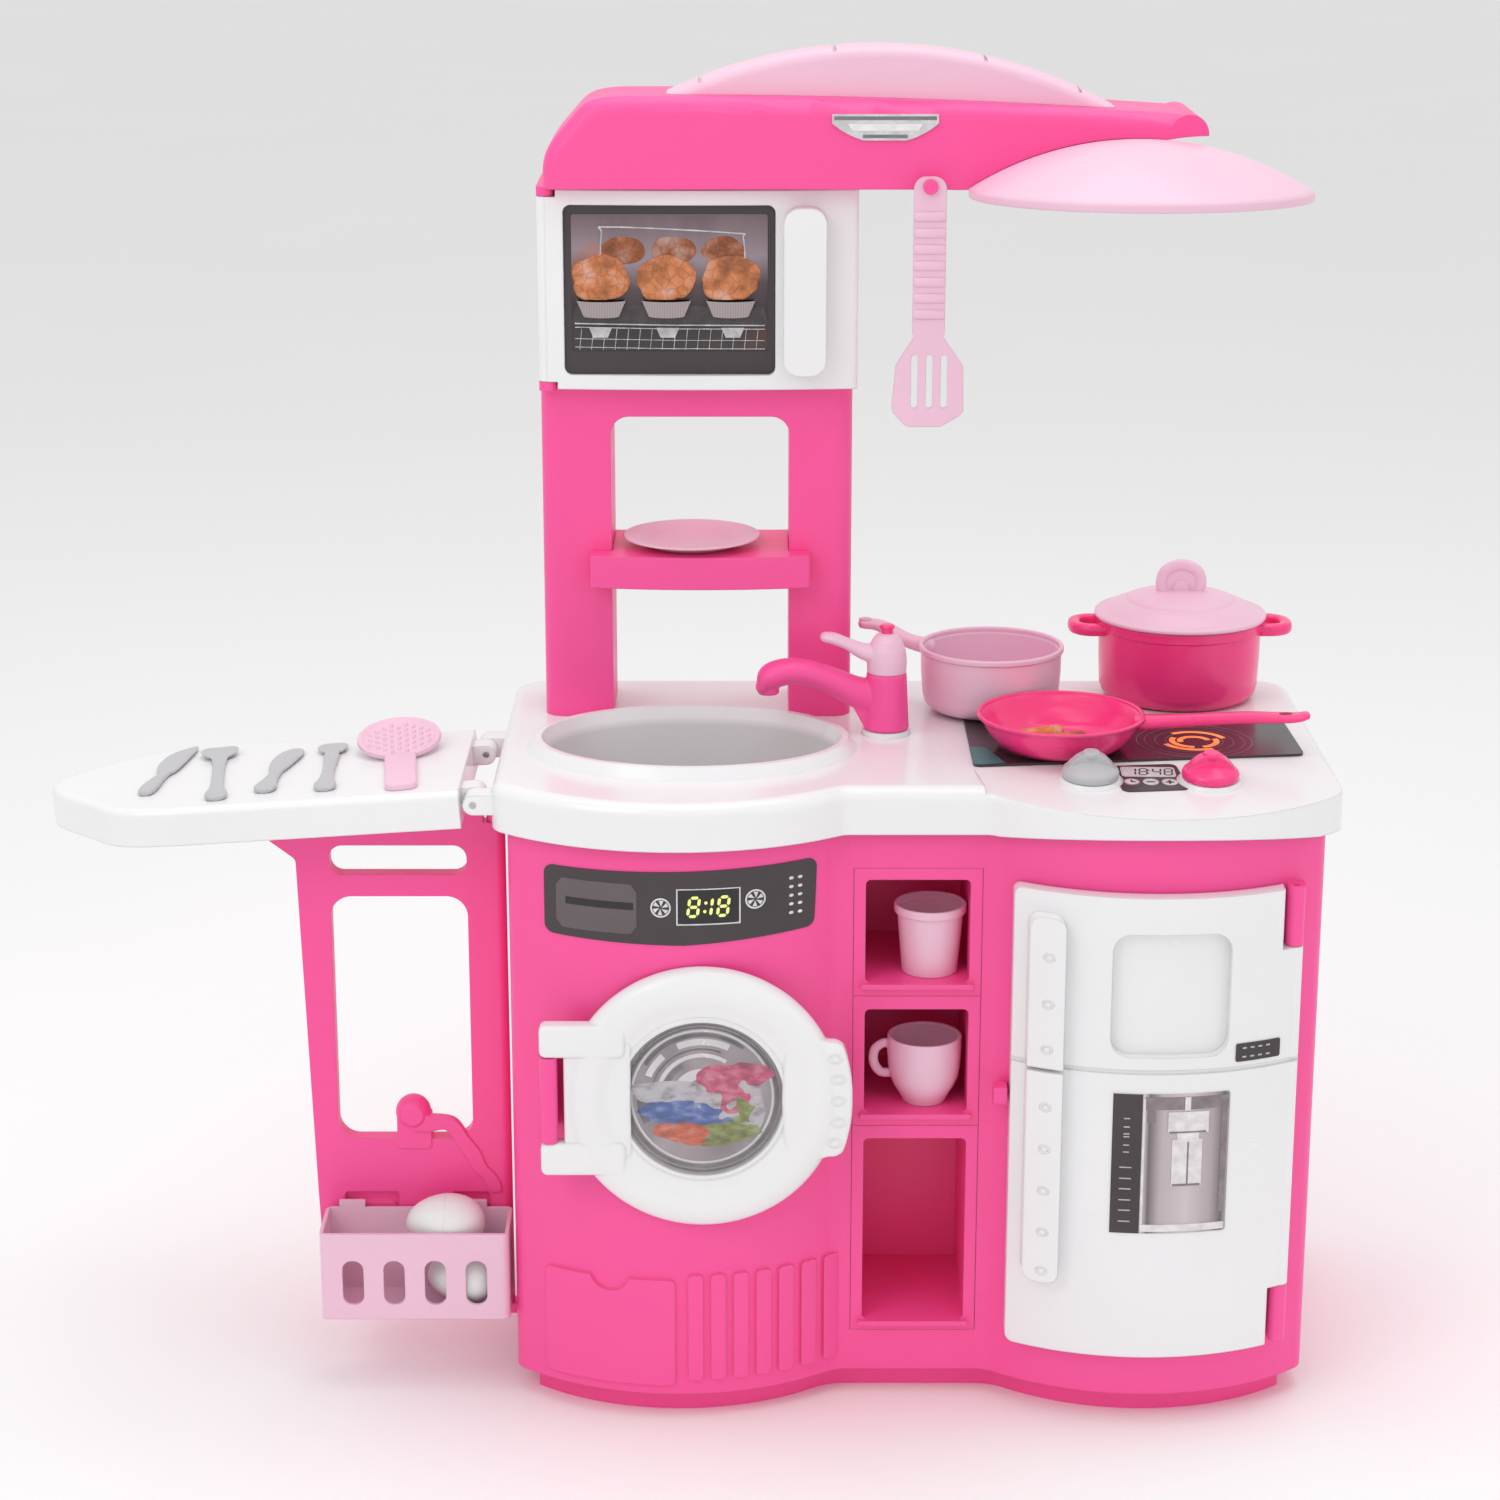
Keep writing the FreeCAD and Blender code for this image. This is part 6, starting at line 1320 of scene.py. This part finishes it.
class KITCHEN_OT_oven_window(bpy.types.Operator):
    """The picture of muffins in the oven door"""

    bl_idname = "kitchen.oven_window"
    bl_label = "Oven window"

    def execute(self, context):
        low, high = box_mm("oven_picture")
        front = low.y
        width, tall = high.x - low.x, high.z - low.z
        u, v = shares(low, high)
        place = front_place(front)
        finish_nodes(dark_print(), "oven_picture")
        field = round_box(u(0.035), u(0.965), v(0.86), v(0.055), 2)
        label("oven_inside", [pad(field, place, -0.1, 0.2)], self.inside_finish(high.z, tall), "oven_door")

        wire = printed("rack_wire", (0.45, 0.43, 0.44), (0.75, 0.74, 0.75), rough=0.25, metal=0.7)
        wires = []
        for down, thick in ((0.70, 1.0), (0.722, 0.7), (0.79, 0.5), (0.84, 0.6)):
            line = [(u(0.05), front - 0.4, v(down)), (u(0.5), front - 0.6, v(down + 0.01)),
                    (u(0.95), front - 0.4, v(down + 0.012))]
            wires.append(tube(line, (thick * 0.6, thick * 0.6), 10))
        for k in range(16):
            share = 0.07 + k * 0.056
            line = [(u(share + 0.01), front - 0.3, v(0.735)), (u(share), front - 0.5, v(0.855))]
            wires.append(tube(line, (0.35, 0.3), 8, up=(1, 0, 0)))
        rail = [(u(share), front - 0.3, v(down)) for share, down in (
            (0.17, 0.42), (0.18, 0.17), (0.22, 0.13), (0.80, 0.165), (0.85, 0.20), (0.86, 0.45))]
        wires.append(tube(flow(rail, 6), (0.7, 0.5), 10, up=(0, 1, 0)))
        for share in (0.17, 0.49, 0.80):
            cup = [(u(share - 0.055), v(0.725)), (u(share + 0.055), v(0.725)), (u(share + 0.035), v(0.785)),
                   (u(share - 0.035), v(0.785))]
            wires.append(pad(cup, place, 0, 1.0, 0.4))
        label("oven_rack", wires, wire, "oven_door")
        tray = printed("oven_tray", (0.045, 0.036, 0.038), (0.075, 0.06, 0.065), rough=0.25)
        shelf = [(u(0.03), v(0.70)), (u(0.97), v(0.715)), (u(0.95), v(0.60)), (u(0.06), v(0.585))]
        label("oven_tray", [pad(shelf, place, 0.05, 0.5, 0.2)], tray, "oven_door")

        warm = crust("crust", (0.62, 0.21, 0.075))
        dim = crust("crust_dim", (0.34, 0.105, 0.04))
        cup_finish = self.cup_finish()

        def cake(share, down, half, rise, out, depth, seed, rough, spread):
            return lump(u(share), v(down), width * half, tall * rise, front - out, depth, seed, rough,
                        spread=spread)

        far = [cake(share, 0.27, 0.108, 0.085, 0.1, 1.2, 3.3 + k, 0.5, 0.12)
               for k, share in enumerate((0.28, 0.52, 0.755))]
        cakes, cups = [], []
        for k, share in enumerate((0.175, 0.485, 0.79)):
            cakes += [cake(share, 0.425, 0.135, 0.135, 0.4, 2.2, 8.1 + k, 0.5, 0.14),
                      cake(share - 0.03, 0.495, 0.10, 0.085, 1.2, 1.9, 1.7 + k, 0.7, 0.2),
                      cake(share + 0.055, 0.47, 0.075, 0.08, 1.2, 1.7, 5.7 + k, 0.7, 0.2)]
            angles = [math.pi * i / 28 for i in range(29)]
            cup = [(u(share - 0.118 * math.cos(a) * (1 + 0.012 * (-1) ** i)), v(0.555 + 0.012 * math.sin(a)))
                   for i, a in enumerate(angles)]
            cup += [(u(share - 0.085 * math.cos(math.pi - a)), v(0.655 + 0.012 * math.sin(a)))
                    for a in angles]
            cups.append(pad(cup, place, 0.3, 2.9, 0.5))
        label("oven_far_cakes", far, dim, "oven_door")
        label("oven_cakes", cakes, warm, "oven_door")
        label("oven_cake_cups", cups, cup_finish, "oven_door")
        dots = [pad(ring_line(u(0.02 + 0.0236 * k), v(0.915), 0.6, count=10), place, -0.05, 0.25)
                for k in range(42)]
        label("oven_dots", dots, pale_ink(), "oven_door")
        outer = round_box(low.x, high.x, low.z, high.z, 6)
        inner = round_box(u(0.033), u(0.967), v(0.865), v(0.05), 2)
        label("oven_frame", [band(outer, inner, place, -0.1, 0.6)], dark_print(), "oven_door")
        return {"FINISHED"}

    @staticmethod
    def inside_finish(top, tall):
        """A dim oven: paler at the top, dark from the middle down, with a red glow and streaks."""
        f = Finish("oven_inside")
        down = ((f.axes()[2] * -1 + top) / tall).held()
        streak = f.noise(24.0, 3.0, (1, 1, 0.15))
        tone = f.ramp((down + (streak - 0.5) * 0.5).held(),
                      [(0.05, (0.16, 0.11, 0.12)), (0.3, (0.30, 0.24, 0.27)), (0.45, (0.09, 0.06, 0.07)),
                       (0.62, (0.035, 0.026, 0.028)), (0.85, (0.05, 0.04, 0.04))])
        glow = f.noise(16.0, 2.0)
        tone = f.mix(tone, (0.5, 0.12, 0.05), ((glow - 0.58) * 4).held() * (1 - down).held())
        return f.close(Base_Color=tone, Roughness=0.3 + streak * 0.2)

    @staticmethod
    def cup_finish():
        """Pleated baking paper."""
        f = Finish("cake_paper")
        across = f.axes()[0]
        pleat = abs(across.math("SINE", across * 2.6))
        return f.close(Base_Color=f.mix((0.20, 0.155, 0.16), (0.46, 0.40, 0.40), pleat), Roughness=0.7)


class KITCHEN_OT_fridge_prints(bpy.types.Operator):
    """Drinks dispenser picture, badge and grip dimples of the fridge door"""

    bl_idname = "kitchen.fridge_prints"
    bl_label = "Fridge prints"

    def execute(self, context):
        low, high = box_mm("dispenser_label")
        u, v = shares(low, high)
        place = bulge_place(1, FRIDGE_FACE + LABEL_FACE)

        def quads(*rows):
            """Upright strips from rows of (left, right, top, bottom, foot, height, number of strips)."""
            shapes = []
            for left, right, top, bottom, foot, height, parts in rows:
                for k in range(parts):
                    a, b = (left + (right - left) * (k + i) / parts for i in (0, 1))
                    shapes.append(pad(rect(u(a), u(b), v(bottom), v(top)), place, foot, height))
            return shapes

        finish_nodes(self.metal_finish(u(0.27), (high.x - low.x) * 0.73), "dispenser_label")
        label("dispenser_strip", quads((0.0, 0.25, 0.0, 1.0, -0.1, 0.2, 3)), dark_print(), "fridge_door")
        ticks = []
        for k, share in enumerate((0.17, 0.23, 0.28, 0.30, 0.36, 0.41, 0.52, 0.60, 0.675, 0.755, 0.83, 0.91)):
            half = 0.05 if k > 5 else 0.025
            ticks += quads((0.12 - half, 0.12 + half, share, share + 0.008, 0.1, 0.35, 1))
        label("dispenser_ticks", ticks, pale_ink(), "fridge_door")
        bright = printed("dispenser_bright", (0.66, 0.62, 0.63), (0.85, 0.83, 0.84), rough=0.22, metal=0.3)
        shade = printed("dispenser_shade", (0.20, 0.165, 0.18), (0.30, 0.25, 0.27), rough=0.3, metal=0.2)
        label("dispenser_shade", quads((0.27, 0.99, 0.02, 0.11, -0.05, 0.25, 8),
                                       (0.29, 0.36, 0.11, 0.2, -0.05, 0.2, 1),
                                       (0.93, 0.98, 0.02, 0.86, -0.05, 0.3, 1)), shade, "fridge_door")
        label("dispenser_spout", quads((0.47, 0.82, 0.125, 0.275, 0.1, 1.0, 3),
                                       (0.51, 0.77, 0.32, 0.655, 0.1, 0.8, 3),
                                       (0.55, 0.74, 0.27, 0.32, 0.1, 0.6, 2),
                                       (0.26, 0.985, 0.935, 0.985, 0.0, 0.8, 8),
                                       (0.61, 0.66, 0.02, 0.115, 0.1, 0.7, 1),
                                       (0.255, 0.275, 0.03, 0.97, 0.0, 0.4, 1)), bright, "fridge_door")
        label("dispenser_lines", quads((0.64, 0.655, 0.34, 0.64, 0.7, 0.9, 1),
                                       (0.48, 0.80, 0.262, 0.275, 0.9, 1.05, 3),
                                       (0.52, 0.76, 0.64, 0.655, 0.7, 0.9, 3)), shade, "fridge_door")

        finish_nodes(dark_print(), "fridge_badge")
        low, high = box_mm("fridge_badge")
        bars = [pad(rect(low.x + 5 + 6 * k, low.x + 8 + 6 * k, z, z + 1.2), place, 0.05, 0.3)
                for k in range(4) for z in (low.z + 3, high.z - 4.2)]
        label("badge_bars", bars, pale_ink(), "fridge_door")

        face = bulge_place(1, GRIP_FACE)
        dishes = []
        for z in (372, 336, 301, 256, 223, 190, 157, 126):
            rings = [[face(x, y, h) for x, y in ring_line(94.0, z, r, r * 0.85, 28)]
                     for r, h in ((4.8, -0.3), (4.2, 0.35), (3.4, 0.5), (2.6, 0.1), (1.0, -0.25))]
            dishes.append(loft(rings))
        piece("grip_dimples", dishes, white(), "fridge_door", slot="white")
        return {"FINISHED"}

    @staticmethod
    def metal_finish(left, width):
        """Brushed metal that is shaded like the inside of a round recess."""
        f = Finish("dispenser_metal")
        across = ((f.axes()[0] - left) / width).held()
        brushed = f.noise(60.0, 3.0, (1, 1, 0.05))
        tone = f.ramp((across + (brushed - 0.5) * 0.08).held(),
                      [(0.0, (0.60, 0.58, 0.59)), (0.06, (0.16, 0.13, 0.14)), (0.2, (0.50, 0.43, 0.45)),
                       (0.5, (0.62, 0.54, 0.56)), (0.8, (0.42, 0.36, 0.38)), (0.93, (0.15, 0.12, 0.13)),
                       (1.0, (0.45, 0.42, 0.43))])
        return f.close(Base_Color=tone, Roughness=0.3 + brushed * 0.15, Metallic=0.1)


class KITCHEN_OT_lamp_and_hood(bpy.types.Operator):
    """Lamp shade, hood badge and the waves of the spatula's handle"""

    bl_idname = "kitchen.lamp_and_hood"
    bl_label = "Lamp and hood"

    def execute(self, context):
        low, high, x, y = centred("lamp_shade")
        radius = (high.x - low.x) / 2
        rise = high.z - LAMP_RIM_Z - 0.6
        sphere = (radius ** 2 + rise ** 2) / (2 * rise)

        def dome(r):
            return math.sqrt(sphere ** 2 - r * r) - (sphere - rise)

        outer = [(r, dome(r)) for r in (radius * (1 - k / 24) for k in range(25))]
        inner = [(r, dome(r) - 2.4) for r in ((radius - 2.6) * k / 24 for k in range(25))]
        profile = inner + [(radius - 2.4, -4.6), (radius - 1.8, -5.2), (radius - 0.5, -5.2), (radius, -4.4),
                           (radius, -0.4)] + outer
        turn = at(x, y, LAMP_RIM_Z) @ Matrix.Rotation(math.radians(-2.0), 4, "X")
        piece("lamp_shell", [moved(lathe(profile, 160), turn)], pale_pink(), "cabinet", ["lamp_shade"],
              "light_pink", sharp=60)
        silver = printed("badge_foil", (0.62, 0.62, 0.63), (0.80, 0.80, 0.81), rough=0.25, metal=0.5)
        finish_nodes(silver, "hood_badge")
        low, high, middle = centred("hood_badge")[:3]
        place = front_place(low.y)
        half = (high.x - low.x) / 2
        grey_bar = printed("badge_grey", (0.20, 0.20, 0.21), rough=0.3)
        pale_bar = printed("badge_pale", (0.85, 0.85, 0.86), rough=0.3)
        rows = [pad(rect(middle - half * share, middle + half * share, bottom, top), place, -0.1, 0.3)
                for bottom, top, share in ((high.z - 4.2, high.z - 1.6, 0.96),
                                           (low.z + 1.8, low.z + 4.2, 0.42))]
        label("badge_grey_bars", rows, grey_bar, "cabinet")
        bar = [(middle - half * 0.62, low.z + 7), (middle + half * 0.62, low.z + 7),
               (middle + half * 0.7, low.z + 12), (middle - half * 0.7, low.z + 12)]
        label("badge_pale_bar", [pad(bar, place, -0.1, 0.3)], pale_bar, "cabinet")
        low, high, middle = centred("spatula")[:3]
        waves = []
        for z in (880 - 12.0 * k for k in range(7)):
            line = [(middle - 10.6, low.y - 0.2, z), (middle, low.y - 0.5, z),
                    (middle + 10.6, low.y - 0.2, z)]
            waves.append(tube(line, (3.6, 1.5), 16, up=(0, 1, 0)))
        piece("spatula_waves", waves, pale_pink(), "spatula", slot="light_pink")
        return {"FINISHED"}


class KITCHEN_PT_panel(bpy.types.Panel):
    """Lists the colours, sizes and steps of the toy kitchen"""

    bl_idname = "KITCHEN_PT_panel"
    bl_label = "Toy kitchen"
    bl_space_type = "VIEW_3D"
    bl_region_type = "UI"
    bl_category = "Toy kitchen"

    def draw(self, context):
        for group in (context.scene.kitchen_colours, context.scene.kitchen_sizes):
            for key in group.__annotations__:
                self.layout.prop(group, key)
        for operator in OPERATORS:
            self.layout.operator(operator.bl_idname)


OPERATORS = (KITCHEN_OT_stage, KITCHEN_OT_mouldings, KITCHEN_OT_tap, KITCHEN_OT_knobs, KITCHEN_OT_cookware,
             KITCHEN_OT_tableware, KITCHEN_OT_cutlery, KITCHEN_OT_eggs, KITCHEN_OT_washer, KITCHEN_OT_controls,
             KITCHEN_OT_oven_window, KITCHEN_OT_fridge_prints, KITCHEN_OT_lamp_and_hood)
CLASSES = (KitchenColours, KitchenSizes) + OPERATORS + (KITCHEN_PT_panel,)


def register():
    for cls in CLASSES:
        bpy.utils.register_class(cls)
    bpy.types.Scene.kitchen_colours = bpy.props.PointerProperty(type=KitchenColours)
    bpy.types.Scene.kitchen_sizes = bpy.props.PointerProperty(type=KitchenSizes)


def unregister():
    del bpy.types.Scene.kitchen_colours
    del bpy.types.Scene.kitchen_sizes
    for cls in reversed(CLASSES):
        bpy.utils.unregister_class(cls)


def main():
    register()
    bpy.ops.kitchen.stage()
    bpy.ops.kitchen.mouldings()
    bpy.ops.kitchen.tap()
    bpy.ops.kitchen.knobs()
    bpy.ops.kitchen.cookware()
    bpy.ops.kitchen.tableware()
    bpy.ops.kitchen.cutlery()
    bpy.ops.kitchen.eggs()
    bpy.ops.kitchen.washer()
    bpy.ops.kitchen.controls()
    bpy.ops.kitchen.oven_window()
    bpy.ops.kitchen.fridge_prints()
    bpy.ops.kitchen.lamp_and_hood()


if __name__ == "__main__":
    main()
